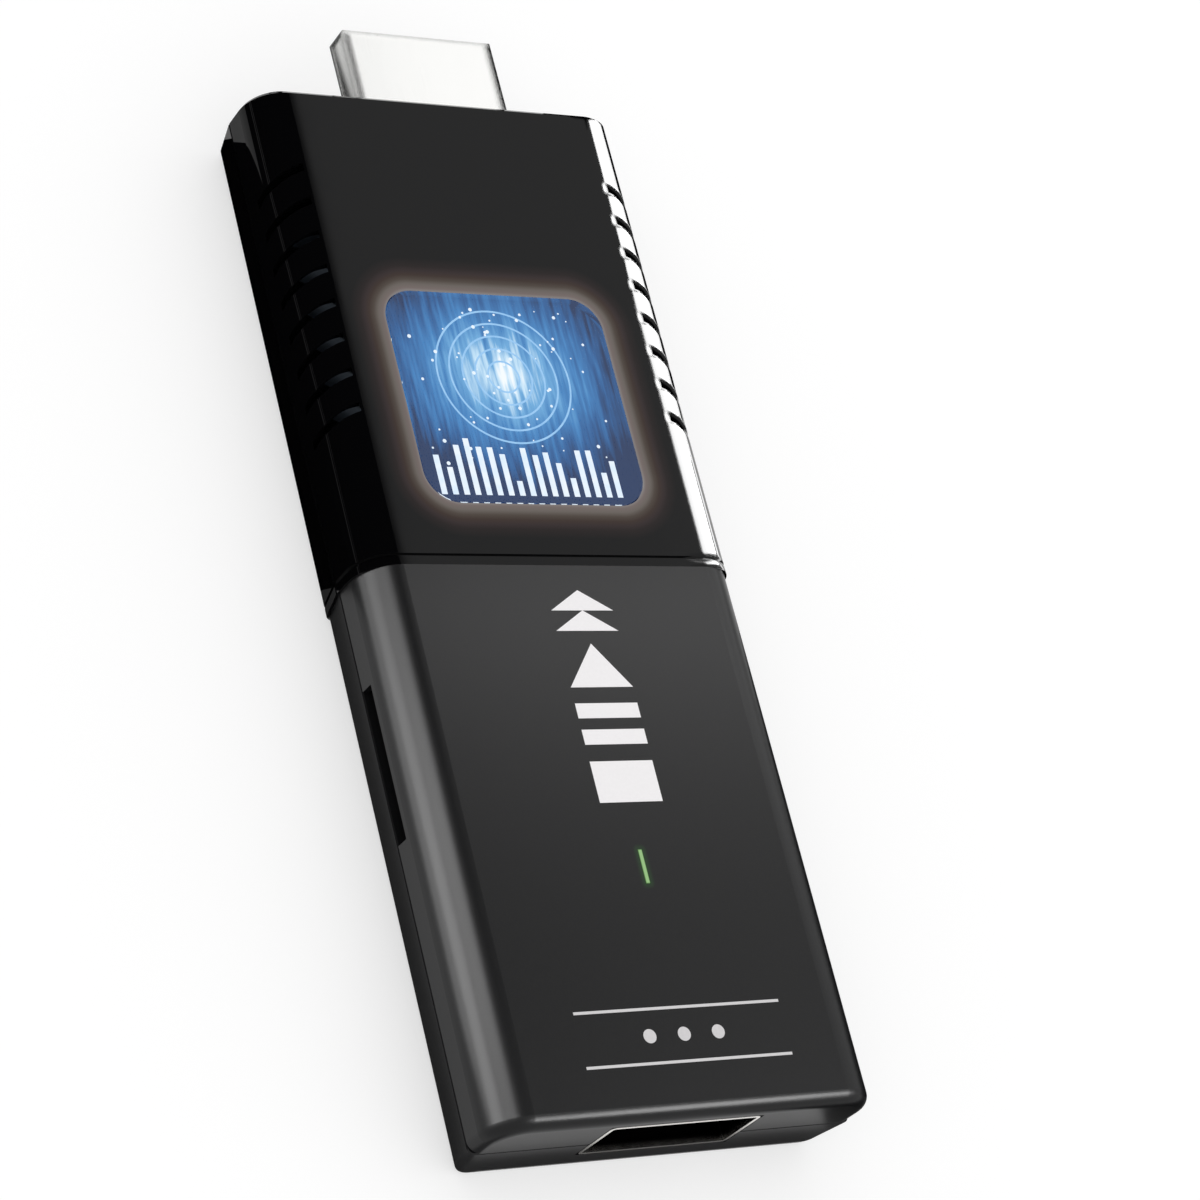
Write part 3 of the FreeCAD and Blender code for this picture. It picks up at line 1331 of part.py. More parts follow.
# The flash chip is soldered under the board
pieces.append(block("flash_chip", MIDDLE, WINDOW_Y, f"{BOARD_LOW} - flash_height", "flash_width",
                    "flash_length", "flash_height"))
shield_can()
pieces.append(block("chip_antenna", f"0 - {BOARD_HALF} + antenna_edge + antenna_width / 2",
                    f"{REAR} + antenna_from_rear", BOARD_TOP, "antenna_width", "antenna_length",
                    "antenna_height"))
inductors()
pieces.append(group("capacitors", [
    block(f"capacitor_{number}", f"capacitor_pitch * ({number} - (capacitor_count - 1) / 2)",
          f"{WINDOW_Y} - processor_size / 2 - capacitor_gap - capacitor_length / 2", BOARD_TOP,
          "capacitor_width", "capacitor_length", "capacitor_height")
    for number in range(int(value("capacitor_count")))
]))
pieces.append(soft_block("crystal", f"(0 - {BOARD_HALF} + crystal_edge + crystal_width / 2)",
                         f"({WINDOW_Y} - processor_size / 2 - capacitor_gap - crystal_length / 2)",
                         BOARD_TOP, "crystal_width", "crystal_length", "crystal_height", "crystal_round"))


# Checks, then one file for each piece

doc.recompute()
for thing in doc.Objects:
    if "Invalid" in thing.State or "Error" in thing.State:
        raise ValueError(f"{thing.Name} failed: {thing.State}")
for piece in pieces:
    if piece.Shape.isNull() or not piece.Shape.isValid() or not piece.Shape.Solids:
        raise ValueError(f"{piece.Label} has no valid solid")
for piece in pieces:
    piece.Shape.exportStep(f"parts/{piece.Label}.step")
print(len(pieces), "pieces written")
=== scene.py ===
# %% [markdown]
# # A streaming media stick, dressed for its picture
# The stick is a small computer that plugs into a television. Its solids come ready made, in metres,
# with the long side along Y and the plug at +Y. This script gives every piece its finish, adds the thin
# printed and lit details that a solid model leaves out, and sets up the studio round it.

# %% Load the solids
import math

import bmesh
import bpy
from mathutils import Matrix, Vector


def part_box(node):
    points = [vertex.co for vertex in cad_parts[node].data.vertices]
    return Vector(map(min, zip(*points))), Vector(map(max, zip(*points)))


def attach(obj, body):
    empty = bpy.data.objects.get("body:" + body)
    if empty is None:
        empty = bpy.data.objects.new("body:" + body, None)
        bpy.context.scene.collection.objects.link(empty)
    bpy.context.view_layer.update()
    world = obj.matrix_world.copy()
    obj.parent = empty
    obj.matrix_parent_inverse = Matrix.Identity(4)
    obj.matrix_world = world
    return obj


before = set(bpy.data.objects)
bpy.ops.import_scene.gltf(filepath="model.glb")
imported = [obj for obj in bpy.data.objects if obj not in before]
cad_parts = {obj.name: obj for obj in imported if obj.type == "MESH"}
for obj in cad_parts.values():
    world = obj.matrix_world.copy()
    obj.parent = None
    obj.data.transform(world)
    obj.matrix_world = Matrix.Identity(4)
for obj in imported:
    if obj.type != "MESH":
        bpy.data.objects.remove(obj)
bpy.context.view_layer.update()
print("pieces in the frame:", len(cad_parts))

# %% [markdown]
# ## Three small helpers
# Colours are easiest to compare as hex codes, but Blender's shaders work on linear light. So one function
# turns a hex code into linear numbers. A second one gives a node's inputs their values or links, and a
# third adds a node to any node tree. All materials and trees below use them.

# %% Colour and node helpers
MM = 0.001


def colour(code):
    """Linear RGBA from an sRGB hex code such as #1a1a1c."""
    levels = [int(code[start:start + 2], 16) / 255 for start in (1, 3, 5)]
    return tuple(c / 12.92 if c <= 0.04045 else ((c + 0.055) / 1.055) ** 2.4 for c in levels) + (1.0,)


def set_inputs(tree, node, inputs):
    """Gives each of these inputs a value or a link."""
    for socket, given in inputs.items():
        if isinstance(given, bpy.types.NodeSocket):
            tree.links.new(given, node.inputs[socket])
        else:
            node.inputs[socket].default_value = given


def add_node(tree, kind, inputs={}, **options):
    """Adds one node, sets its options and then its inputs."""
    node = tree.nodes.new(kind)
    for name, choice in options.items():
        setattr(node, name, choice)
    set_inputs(tree, node, inputs)
    return node


BLACK = colour("#000000")
WHITE = colour("#ffffff")
print("#808080 in linear light:", round(colour("#808080")[0], 3))

# %% [markdown]
# ## Places on the stick
# The thin details sit on the solids, so their places come from the solids' own boxes. The housing is
# 34 mm wide and 9.8 mm high, and the step between its glossy and matte halves lies near the middle.

# %% Measure the solids
FILM_LOW, FILM_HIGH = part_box("picture_film")
PIPE_LOW, PIPE_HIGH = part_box("light_pipe")
REAR_LOW, REAR_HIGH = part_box("rear_top_cover")
ROOF = REAR_HIGH[2]
WINDOW_X = (FILM_LOW[0] + FILM_HIGH[0]) / 2
WINDOW_Y = (FILM_LOW[1] + FILM_HIGH[1]) / 2
WINDOW_HALF = (10.0 * MM, 9.5 * MM)
WINDOW_ROUND = 2.8 * MM
LIGHT_X = (PIPE_LOW[0] + PIPE_HIGH[0]) / 2
LIGHT_Y = (PIPE_LOW[1] + PIPE_HIGH[1]) / 2
LIGHT_HALF = (0.2 * MM, 1.4 * MM)
LIGHT_ROUND = 0.1 * MM
print("window middle in mm:", round(WINDOW_X / MM, 2), round(WINDOW_Y / MM, 2))
print("status light in mm:", round(LIGHT_X / MM, 2), round(LIGHT_Y / MM, 2))

# %% [markdown]
# ## The camera
# The picture looks down on the stick from its left rear, with the camera rolled so that the stick runs
# steeply across the frame. A long lens keeps the perspective gentle. The camera's three axes were worked
# out from the picture's landmarks, and they make its rotation directly.

# %% Camera
CAMERA_PLACE = Vector((-0.146688, -0.11367, 0.226228))
CAMERA_RIGHT = Vector((0.85053454, -0.23255234, 0.47171009))
CAMERA_UP = Vector((-0.00270525, 0.89497861, 0.44610085))
CAMERA_BACK = Vector((-0.52591224, -0.38070027, 0.76058111))
LENS_LENGTH = 109.99
SENSOR_WIDTH = 36
CLIP_RANGE = (0.01, 20)

camera_data = bpy.data.cameras.new("camera")
camera_data.lens = LENS_LENGTH
camera_data.sensor_width = SENSOR_WIDTH
camera_data.clip_start, camera_data.clip_end = CLIP_RANGE
camera = bpy.data.objects.new("camera", camera_data)
bpy.context.collection.objects.link(camera)
camera_turn = Matrix((CAMERA_RIGHT, CAMERA_UP, CAMERA_BACK)).transposed()
camera.matrix_world = Matrix.Translation(CAMERA_PLACE) @ camera_turn.to_4x4()
bpy.context.scene.camera = camera
bpy.context.scene.view_settings.view_transform = "Standard"
print("camera", round(CAMERA_PLACE.length, 3), "m from the stick, with a lens of", LENS_LENGTH, "mm")

# %% [markdown]
# ## The white background
# The background is white. A floor that were lit up to white would throw too much light on the stick. So
# the floor and the world show white only to rays that come from the camera or from shiny surfaces, which
# the Light Path node tells apart. To all other rays they are a plain pale grey.

# %% Helpers for the studio


def sees_background(tree):
    """1 for rays that should see the white background: camera, glossy and transmission rays."""
    path = add_node(tree, "ShaderNodeLightPath")
    first = add_node(
        tree, "ShaderNodeMath",
        {0: path.outputs["Is Camera Ray"], 1: path.outputs["Is Glossy Ray"]}, operation="MAXIMUM")
    both = add_node(
        tree, "ShaderNodeMath",
        {0: first.outputs[0], 1: path.outputs["Is Transmission Ray"]}, operation="MAXIMUM")
    return both.outputs[0]


def flat_card(name, corners, material):
    """One four-cornered studio card, which isn't part of the stick."""
    mesh = bpy.data.meshes.new(name)
    mesh.from_pydata(corners, [], [(0, 1, 2, 3)])
    mesh.materials.append(material)
    card = bpy.data.objects.new(name, mesh)
    bpy.context.collection.objects.link(card)
    return card


# %% [markdown]
# ## Floor and world
# Most of the floor's white is a glow of its own, and the rest is real diffuse light, so the stick still
# leaves a soft shadow on it. The world is the soft light all round.

# %% Floor and world
FLOOR_SIZE = 6.0
FLOOR_GLOW = 0.56
FLOOR_TONE = "#bcbcbc"
SOFT_LIGHT = 0.9


def make_floor():
    """A large plain floor that shows white and keeps a soft shadow."""
    material = bpy.data.materials.new("white_paper")
    material.use_nodes = True
    tree = material.node_tree
    tree.nodes.clear()
    paper = add_node(tree, "ShaderNodeBsdfDiffuse", {"Color": colour(FLOOR_TONE)})
    glow = add_node(tree, "ShaderNodeEmission", {"Color": WHITE, "Strength": FLOOR_GLOW})
    lit = add_node(tree, "ShaderNodeAddShader", {0: paper.outputs[0], 1: glow.outputs[0]})
    choice = add_node(
        tree, "ShaderNodeMixShader", {0: sees_background(tree), 1: paper.outputs[0], 2: lit.outputs[0]})
    add_node(tree, "ShaderNodeOutputMaterial", {"Surface": choice.outputs[0]})
    half = FLOOR_SIZE / 2
    flat_card("floor", [(-half, -half, 0), (half, -half, 0), (half, half, 0), (-half, half, 0)], material)


def make_world():
    """White to the camera and to shiny surfaces, a plain soft grey as light."""
    world = bpy.data.worlds.new("studio")
    world.use_nodes = True
    bpy.context.scene.world = world
    tree = world.node_tree
    tree.nodes.clear()
    white = add_node(tree, "ShaderNodeBackground", {"Color": WHITE, "Strength": 1.0})
    soft = add_node(tree, "ShaderNodeBackground", {"Color": WHITE, "Strength": SOFT_LIGHT})
    choice = add_node(
        tree, "ShaderNodeMixShader", {0: sees_background(tree), 1: soft.outputs[0], 2: white.outputs[0]})
    add_node(tree, "ShaderNodeOutputWorld", {"Surface": choice.outputs[0]})


make_floor()
make_world()
print("floor of", FLOOR_SIZE, "m, soft light of", SOFT_LIGHT)

# %% [markdown]
# ## Lamps for reflections
# Glossy black plastic shows hardly any colour of its own. What the eye sees is what it reflects. So the
# lamps here light only reflections: each stands where one face of the stick mirrors it to the camera.
# Light linking gives each lamp the pieces that it is meant for, which saves the screens that a
# photographer would put between them. A far lamp is easiest to place by its direction and distance.

# %% Helpers for the lamps
GLOSSY_PIECES = ("front_top_cover", "front_bottom_cover")
MATTE_PIECES = ("rear_top_cover",)
PORT_PIECES = ("usb_shell",)
PLUG_PIECES = ("hdmi_shell",)
STICK_MIDDLE = (0.0, -0.020, 0.009)


def far_place(azimuth, rise, distance):
    """A place round the stick: degrees from +X towards +Y, degrees above the table, and metres away."""
    level = distance * math.cos(math.radians(rise))
    return (STICK_MIDDLE[0] + level * math.cos(math.radians(azimuth)),
            STICK_MIDDLE[1] + level * math.sin(math.radians(azimuth)),
            STICK_MIDDLE[2] + distance * math.sin(math.radians(rise)))


def panel_lamp(name, pieces, place, aim, width, height, brightness, roll=0.0):
    """An area lamp for reflections on some pieces. In a mirror it has its brightness, 1 being white."""
    lamp = bpy.data.lights.new(name, "AREA")
    lamp.shape = "RECTANGLE"
    lamp.size = width
    lamp.size_y = height
    lamp.energy = brightness * math.pi * width * height
    holder = bpy.data.objects.new(name, lamp)
    bpy.context.collection.objects.link(holder)
    back = Vector(place) - Vector(aim)
    facing = back.to_track_quat("Z", "Y").to_matrix().to_4x4()
    holder.matrix_world = Matrix.Translation(place) @ facing @ Matrix.Rotation(math.radians(roll), 4, "Z")
    holder.visible_camera = False
    holder.visible_diffuse = False
    lit = bpy.data.collections.new(name + "_lights")
    for piece in pieces:
        lit.objects.link(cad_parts[piece])
    holder.light_linking.receiver_collection = lit
    print(name, "at", [round(number, 3) for number in place], "brightness", brightness)


# %% [markdown]
# ## Lamps for the glossy half
# A tall strip on the right makes the bright band along the right shoulder. A panel that lies on the table
# and shines upwards carries the band on round the shoulder's lower part, which mirrors the table.

# %% Lamps of the glossy half
panel_lamp("right_strip", GLOSSY_PIECES, place=(0.38, 0.235, 0.2425), aim=(0.0, 0.235, 0.2425),
           width=0.17, height=0.465, brightness=40)
panel_lamp("right_low_panel", GLOSSY_PIECES, place=(0.33, 0.12, 0.001), aim=(0.33, 0.12, 1.0),
           width=0.56, height=0.36, brightness=7)

# %% [markdown]
# ## Lamps for the matte half
# The soft light along the left rounding is one long reflection. The rounding mirrors an arc of the room,
# from the table to nearly overhead, so three panels share it: one far away and low, one nearer and higher,
# and one that lies on the table. The arc leans, so the first two are rolled. The far ones stand between
# the directions that the roof mirrors when the stick is seen square on or from a corner, so that no such
# view is dazzled. A weak panel brightens the right edge, and one lights the rounding over the port.

# %% Lamps of the matte half
panel_lamp("left_panel", MATTE_PIECES, place=far_place(163, 16.7, 0.515), aim=STICK_MIDDLE,
           width=0.165, height=0.30, brightness=18, roll=5)
panel_lamp("left_top_panel", MATTE_PIECES, place=far_place(153, 50, 0.248), aim=STICK_MIDDLE,
           width=0.09, height=0.150, brightness=13, roll=21)
panel_lamp("right_matte_panel", MATTE_PIECES, place=far_place(26, 25, 0.5), aim=STICK_MIDDLE,
           width=0.105, height=0.23, brightness=1.3)
panel_lamp("left_low_panel", MATTE_PIECES, place=(-0.077, -0.005, 0.0015), aim=(-0.077, -0.005, 1.0),
           width=0.086, height=0.060, brightness=7)
panel_lamp("port_panel", MATTE_PIECES, place=(0.063, -0.084, 0.100), aim=(0.0, -0.047, 0.009),
           width=0.064, height=0.038, brightness=24)

# %% [markdown]
# ## Lamps for the metal
# The port's rim and the plug would mirror only the white room. A small lamp under the port's edge and one
# to the left of the plug give their edges a highlight.

# %% Lamps of the port and the plug
panel_lamp("port_rim_panel", PORT_PIECES, place=(0.005, -0.060, 0.0012), aim=(0.005, -0.060, 1.0),
           width=0.030, height=0.020, brightness=0.5)
panel_lamp("plug_edge_panel", PLUG_PIECES, place=(-0.100, 0.090, 0.060), aim=(0.0, 0.045, 0.009),
           width=0.080, height=0.080, brightness=0.6)

# %% [markdown]
# ## The roof's fading tone
# The matte roof is palest at the step and darkens towards the port. It is flat, so each spot on it mirrors
# its own small patch of the room. A row of five level strips hangs there, each weaker than the last one
# towards the port, and the plastic's grain blurs them into one even fade.

# %% Strips over the matte roof
STRIP_X = 0.050
STRIP_Z = 0.071
STRIP_LENGTH = 0.072
STRIP_WIDTH = 0.009
STRIPS = [(0.027, 5.2), (0.018, 1.9), (0.009, 0.75), (0.000, 0.4), (-0.009, 0.1)]

for count, (strip_y, strip_brightness) in enumerate(STRIPS):
    panel_lamp(f"step_strip_{count + 1}", MATTE_PIECES, place=(STRIP_X, strip_y, STRIP_Z),
               aim=(STRIP_X, strip_y, 0.0), width=STRIP_LENGTH, height=STRIP_WIDTH,
               brightness=strip_brightness)

# %% [markdown]
# ## Cards
# A shiny object in a white room has no outline. Photographers stand black cards just outside the picture,
# and the edges mirror them as dark lines. These helpers make such cards: only reflections see them, and
# their paper has no shine. A card lies level or stands upright.

# %% Helpers for the cards


def reflected_card(name, corners, material):
    """A card that only reflections see."""
    card = flat_card(name, corners, material)
    card.visible_camera = False
    card.visible_diffuse = False
    card.visible_shadow = False
    card.visible_transmission = False


def wall_corners(start, end, low, high):
    """The corners of an upright card from one plan point to another."""
    return [(*start, low), (*end, low), (*end, high), (*start, high)]


def level_corners(low, high, height):
    """The corners of a level card between two plan points."""
    corners = [(low[0], low[1]), (high[0], low[1]), (high[0], high[1]), (low[0], high[1])]
    return [(*corner, height) for corner in corners]


def card_paper(name, tone):
    """Paper without any shine."""
    paper = bpy.data.materials.new(name)
    paper.use_nodes = True
    set_inputs(paper.node_tree, paper.node_tree.nodes["Principled BSDF"],
               {"Base Color": colour(tone), "Specular IOR Level": 0.0})
    return paper


black_paper = card_paper("black_paper", "#030303")
dark_paper = card_paper("dark_paper", "#7c7c7c")
grey_paper = card_paper("grey_paper", "#d0d0d0")
pale_paper = card_paper("pale_paper", "#dedede")
print("four papers, from black to pale")

# %% [markdown]
# ## Where the cards are
# A black card overhead and one at the left darken the glossy left shoulder. Cards on the table keep the
# lower walls and the end dark. Those on the right end the bright band and draw the silhouette, and three
# small ones give the plug its dark edges. Cards that overlap lie at slightly different heights.

# %% Place the cards
CARDS = [
    ("overhead_black", black_paper, level_corners((-0.80, 0.02), (0.165, 0.60), 0.30)),
    ("left_black", black_paper, wall_corners((-0.80, 0.0), (-0.80, 0.80), 0.0, 0.30)),
    ("gloss_floor_black", black_paper, level_corners((-0.60, 0.0), (-0.0140, 0.20), 0.0006)),
    ("gloss_floor_grey", grey_paper, level_corners((-0.100, 0.0), (-0.072, 0.20), 0.0008)),
    ("matte_floor_dark", dark_paper, level_corners((-0.0178, -0.070), (-0.0140, 0.0), 0.0006)),
    ("end_floor_dark", dark_paper, level_corners((-0.015, -0.0487), (0.030, -0.0455), 0.0007)),
    ("right_rear_floor_black", black_paper, level_corners((0.0175, -0.070), (0.300, -0.001), 0.0005)),
    ("right_rear_black", black_paper, wall_corners((0.310, -0.100), (0.310, 0.140), 0.0, 0.030)),
    ("right_floor_black", black_paper, level_corners((0.0185, 0.020), (0.042, 0.080), 0.0012)),
    ("plug_side_black", black_paper, wall_corners((0.030, 0.0535), (0.030, 0.080), 0.0, 0.031)),
    ("plug_left_black", black_paper, [(-0.0117, 0.0405, 0.0012), (-0.0070, 0.0405, 0.0012),
                                      (-0.0070, 0.0560, 0.0012), (-0.0103, 0.0560, 0.0012)]),
    ("plug_left_grey", pale_paper, level_corners((-0.0300, 0.0408), (-0.0070, 0.070), 0.0010)),
]

for name, paper, corners in CARDS:
    reflected_card(name, corners, paper)
print("cards round the stick:", len(CARDS))

# %% [markdown]
# ## Finishes
# Every finish starts from Blender's main shader and from the place on the piece, in object coordinates.
# These are the same for the whole stick, so a pattern's size can be given in millimetres. Two more helpers
# measure the distance from a rounded rectangle, for light that spills over an edge, and fill a colour ramp.

# %% Helpers for the finishes


def new_finish(name):
    """A material with its node tree, its main shader and the place on the piece, in metres."""
    material = bpy.data.materials.new(name)
    material.use_nodes = True
    tree = material.node_tree
    point = add_node(tree, "ShaderNodeTexCoord").outputs["Object"]
    return material, tree, tree.nodes["Principled BSDF"], point


def outside_of(tree, point, middle, half, corner):
    """Distance of a point from a rounded rectangle in plan, in metres, negative inside."""
    shifted = add_node(tree, "ShaderNodeVectorMath", {0: point, 1: (*middle, 0)}, operation="SUBTRACT")
    flat = add_node(
        tree, "ShaderNodeVectorMath", {0: shifted.outputs[0], 1: (1, 1, 0)}, operation="MULTIPLY")
    mirrored = add_node(tree, "ShaderNodeVectorMath", {0: flat.outputs[0]}, operation="ABSOLUTE")
    core = (half[0] - corner, half[1] - corner, 0)
    beyond = add_node(tree, "ShaderNodeVectorMath", {0: mirrored.outputs[0], 1: core}, operation="SUBTRACT")
    kept = add_node(tree, "ShaderNodeVectorMath", {0: beyond.outputs[0], 1: (0, 0, 0)}, operation="MAXIMUM")
    reach = add_node(tree, "ShaderNodeVectorMath", {0: kept.outputs[0]}, operation="LENGTH")
    gap = add_node(tree, "ShaderNodeMath", {0: reach.outputs["Value"], 1: corner}, operation="SUBTRACT")
    return gap.outputs[0]


def set_tones(ramp, tones):
    """Gives a colour ramp its stops, each a place from 0 to 1 and a tone."""
    while len(ramp.elements) < len(tones):
        ramp.elements.new(0.5)
    for element, (place, tone) in zip(ramp.elements, tones):
        element.position = place
        element.color = colour(tone)


def dress(material, *names):
    """Gives the named solids one finish."""
    for name in names:
        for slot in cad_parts[name].material_slots:
            slot.material = material
    print(material.name, "on", ", ".join(names))


# %% [markdown]
# ## The glossy half
# Both halves of the housing are ABS. The front half was moulded in a polished tool, which leaves a
# surface like piano lacquer: hardly any roughness, with a slow ripple of 3 mm in it. A warm glow from the
# picture behind the window is painted on to the roof round it as emission, with tones from a ramp over the
# distance.
# A real moulding's edges are never quite sharp. A Bevel node softens them in the shading alone, so the
# solid keeps its shape. Its radius follows X, so that only the right shoulder is softened.

# %% Polished black ABS
HOUSING_SPECULAR = 0.2
EDGE_SAMPLES = 8
RIPPLE = 3 * MM
GLOSS_ROUGH = (0.025, 0.05)
SOFT_EDGE = 0.5 * MM
SOFT_FROM = 12.0 * MM
SOFT_FULLY = 12.8 * MM
ROOF_DEPTH = 0.3 * MM
PAINTED_HALO_REACH = 3.0 * MM
PAINTED_HALO_TONES = [(0.0, "#7f7977"), (0.07, "#6f6461"), (0.20, "#645d58"), (0.33, "#483f38"),
              (0.47, "#352822"), (0.60, "#2b2020"), (0.74, "#19100f"), (1.0, "#000000")]


def gloss_abs():
    """Piano black ABS, with a painted glow of the window's light on the plastic round it."""
    material, tree, shader, point = new_finish("polished_black_abs")
    ripple = add_node(tree, "ShaderNodeTexNoise", {"Vector": point, "Scale": 1 / RIPPLE})
    polish = add_node(
        tree, "ShaderNodeMapRange",
        {"Value": ripple.outputs[0], "To Min": GLOSS_ROUGH[0], "To Max": GLOSS_ROUGH[1]})
    place = add_node(tree, "ShaderNodeSeparateXYZ", {0: point})
    radius = add_node(
        tree, "ShaderNodeMapRange",
        {"Value": place.outputs["X"], "From Min": SOFT_FROM, "From Max": SOFT_FULLY, "To Min": 0.0,
         "To Max": SOFT_EDGE})
    bend = add_node(tree, "ShaderNodeBevel", {"Radius": radius.outputs[0]}, samples=EDGE_SAMPLES)
    # Painted glow: emission on the roof round the window, from a pale rim to black, stands in for its
    # spilled light.
    away = outside_of(tree, point, (WINDOW_X, WINDOW_Y), WINDOW_HALF, WINDOW_ROUND)
    share = add_node(tree, "ShaderNodeMath", {0: away, 1: PAINTED_HALO_REACH}, operation="DIVIDE")
    ramp = add_node(tree, "ShaderNodeValToRGB", {0: share.outputs[0]})
    set_tones(ramp.color_ramp, PAINTED_HALO_TONES)
    on_roof = add_node(
        tree, "ShaderNodeMath", {0: place.outputs["Z"], 1: ROOF - ROOF_DEPTH}, operation="GREATER_THAN")
    painted_halo = add_node(
        tree, "ShaderNodeMix", {0: on_roof.outputs[0], 6: BLACK, 7: ramp.outputs[0]}, data_type="RGBA")
    set_inputs(tree, shader, {
        "Base Color": colour("#050506"), "Roughness": polish.outputs[0],
        "Specular IOR Level": HOUSING_SPECULAR, "Normal": bend.outputs[0],
        "Emission Color": painted_halo.outputs[2], "Emission Strength": 1.0})
    return material


dress(gloss_abs(), "front_top_cover", "front_bottom_cover")

# %% [markdown]
# ## The matte half
# The rear half came out of a spark-eroded tool, which leaves an even grain that scatters light. One noise
# of 0.15 mm drives its tone, its roughness and a faint bump. The status light's green glow on the plastic
# beside it is painted in as emission.

# %% Spark-eroded grey ABS
GRAIN = 0.15 * MM
GRAIN_DEPTH = 0.01 * MM
GRAIN_STRENGTH = 0.25
MATTE_ROUGH = (0.27, 0.34)
PAINTED_GREEN_GLOW_REACH = 0.55 * MM


def matte_abs():
    """Spark-eroded dark grey ABS, with the status light's green glow painted on beside it."""
    material, tree, shader, point = new_finish("spark_eroded_grey_abs")
    grain = add_node(tree, "ShaderNodeTexNoise", {"Vector": point, "Scale": 1 / GRAIN, "Detail": 3.0})
    tone = add_node(
        tree, "ShaderNodeMix",
        {0: grain.outputs[0], 6: colour("#131314"), 7: colour("#19191a")}, data_type="RGBA")
    rough = add_node(
        tree, "ShaderNodeMapRange",
        {"Value": grain.outputs[0], "To Min": MATTE_ROUGH[0], "To Max": MATTE_ROUGH[1]})
    bump = add_node(
        tree, "ShaderNodeBump",
        {"Height": grain.outputs[0], "Strength": GRAIN_STRENGTH, "Distance": GRAIN_DEPTH})
    # Painted glow: green emission that fades out within a short distance of the status light.
    away = outside_of(tree, point, (LIGHT_X, LIGHT_Y), LIGHT_HALF, LIGHT_ROUND)
    spill = add_node(
        tree, "ShaderNodeMapRange",
        {"Value": away, "From Min": 0.0, "From Max": PAINTED_GREEN_GLOW_REACH, "To Min": 1.0,
         "To Max": 0.0}, interpolation_type="SMOOTHERSTEP")
    green = add_node(
        tree, "ShaderNodeMix", {0: spill.outputs[0], 6: BLACK, 7: colour("#0d2a0b")}, data_type="RGBA")
    set_inputs(tree, shader, {
        "Base Color": tone.outputs[2], "Roughness": rough.outputs[0],
        "Specular IOR Level": HOUSING_SPECULAR, "Normal": bump.outputs[0],
        "Emission Color": green.outputs[2], "Emission Strength": 1.0})
    return material


dress(matte_abs(), "rear_top_cover", "rear_bottom_cover")

# %% [markdown]
# ## Metals
# The plug and the sockets are formed from nickel-plated steel sheet, and the contacts are gold-plated
# bronze. Nickel is a slightly warm, bright metal. A metal's colour goes into the base colour with Metallic
# at 1, and fine streaks in the roughness show the lines that rolling leaves. Bent sheet has round edges,
# which a Bevel node adds in the shading.

# %% Helper for sheet metal
STREAK_WIDTH = 0.06 * MM
STREAK_LENGTH = 4 * MM
STREAK_SPREAD = (0.7, 1.4)


def sheet_metal(name, tone, rough, streak_along, edge=0.0):
    """Plated sheet metal, with fine rolling streaks along one axis and softly bent edges."""
    material, tree, shader, point = new_finish(name)
    stretch = [1 / STREAK_WIDTH] * 3
    stretch["XYZ".index(streak_along)] = 1 / STREAK_LENGTH
    mapping = add_node(tree, "ShaderNodeMapping", {"Vector": point, "Scale": tuple(stretch)})
    streaks = add_node(
        tree, "ShaderNodeTexNoise", {"Vector": mapping.outputs[0], "Scale": 1.0, "Detail": 2.0})
    span = add_node(
        tree, "ShaderNodeMapRange",
        {"Value": streaks.outputs[0], "To Min": rough * STREAK_SPREAD[0],
         "To Max": rough * STREAK_SPREAD[1]})
    if edge:
        bend = add_node(tree, "ShaderNodeBevel", {"Radius": edge}, samples=EDGE_SAMPLES)
        set_inputs(tree, shader, {"Normal": bend.outputs[0]})
    set_inputs(tree, shader, {"Base Color": colour(tone), "Metallic": 1.0, "Roughness": span.outputs[0]})
    return material


# %% [markdown]
# ## Metal pieces
# The table gives each metal its tone, its roughness and the direction in which its sheet or wire was
# rolled. The port's shell needs one thing more: little light gets into it, so shade is painted into its
# steel, bright at the mouth and falling to a dull dark tone within 0.6 mm.

# %% Finishes of the metal pieces
PLUG_EDGE = 0.9 * MM
PORT_TONE = "#dedbd6"
PORT_PAINTED_SHADE_TONE = "#1c1b1b"
MOUTH_DEPTH = 0.6 * MM
METALS = [
    ("tinned_steel", "#cfcdc6", 0.24, "X", ("micro_usb_shell", "tf_shell", "wireless_can", "crystal")),
    ("gold_plated_bronze", "#e0b560", 0.2, "Y", ("hdmi_contacts", "usb_contacts")),
    ("gold_flashed_bronze", "#d8ae5c", 0.22, "X", ("micro_usb_contacts", "tf_contacts")),
    ("spring_steel", "#b9bcc0", 0.2, "X", ("tf_spring", "tf_cam_pin")),
    ("zinc_plated_steel", "#c4c7ca", 0.28, "Z", ("board_screws",)),
    ("rolled_aluminium", "#c9cbcd", 0.3, "Y", ("heat_spreader",)),
]


def port_metal():
    """The port's steel, bright at its mouth, with painted shade further in."""
    material = sheet_metal("nickel_steel_painted_shade", PORT_TONE, 0.2, "Y")
    tree = material.node_tree
    point = add_node(tree, "ShaderNodeTexCoord").outputs["Object"]
    place = add_node(tree, "ShaderNodeSeparateXYZ", {0: point})
    mouth = REAR_LOW[1]
    inward = add_node(
        tree, "ShaderNodeMapRange",
        {"Value": place.outputs["Y"], "From Min": mouth,
         "From Max": mouth + MOUTH_DEPTH}, interpolation_type="SMOOTHSTEP")
    # Painted shade: the base colour falls from bright steel to a dark tone inside the mouth.
    tone = add_node(
        tree, "ShaderNodeMix",
        {0: inward.outputs[0], 6: colour(PORT_TONE), 7: colour(PORT_PAINTED_SHADE_TONE)}, data_type="RGBA")
    set_inputs(tree, tree.nodes["Principled BSDF"], {"Base Color": tone.outputs[2]})
    return material


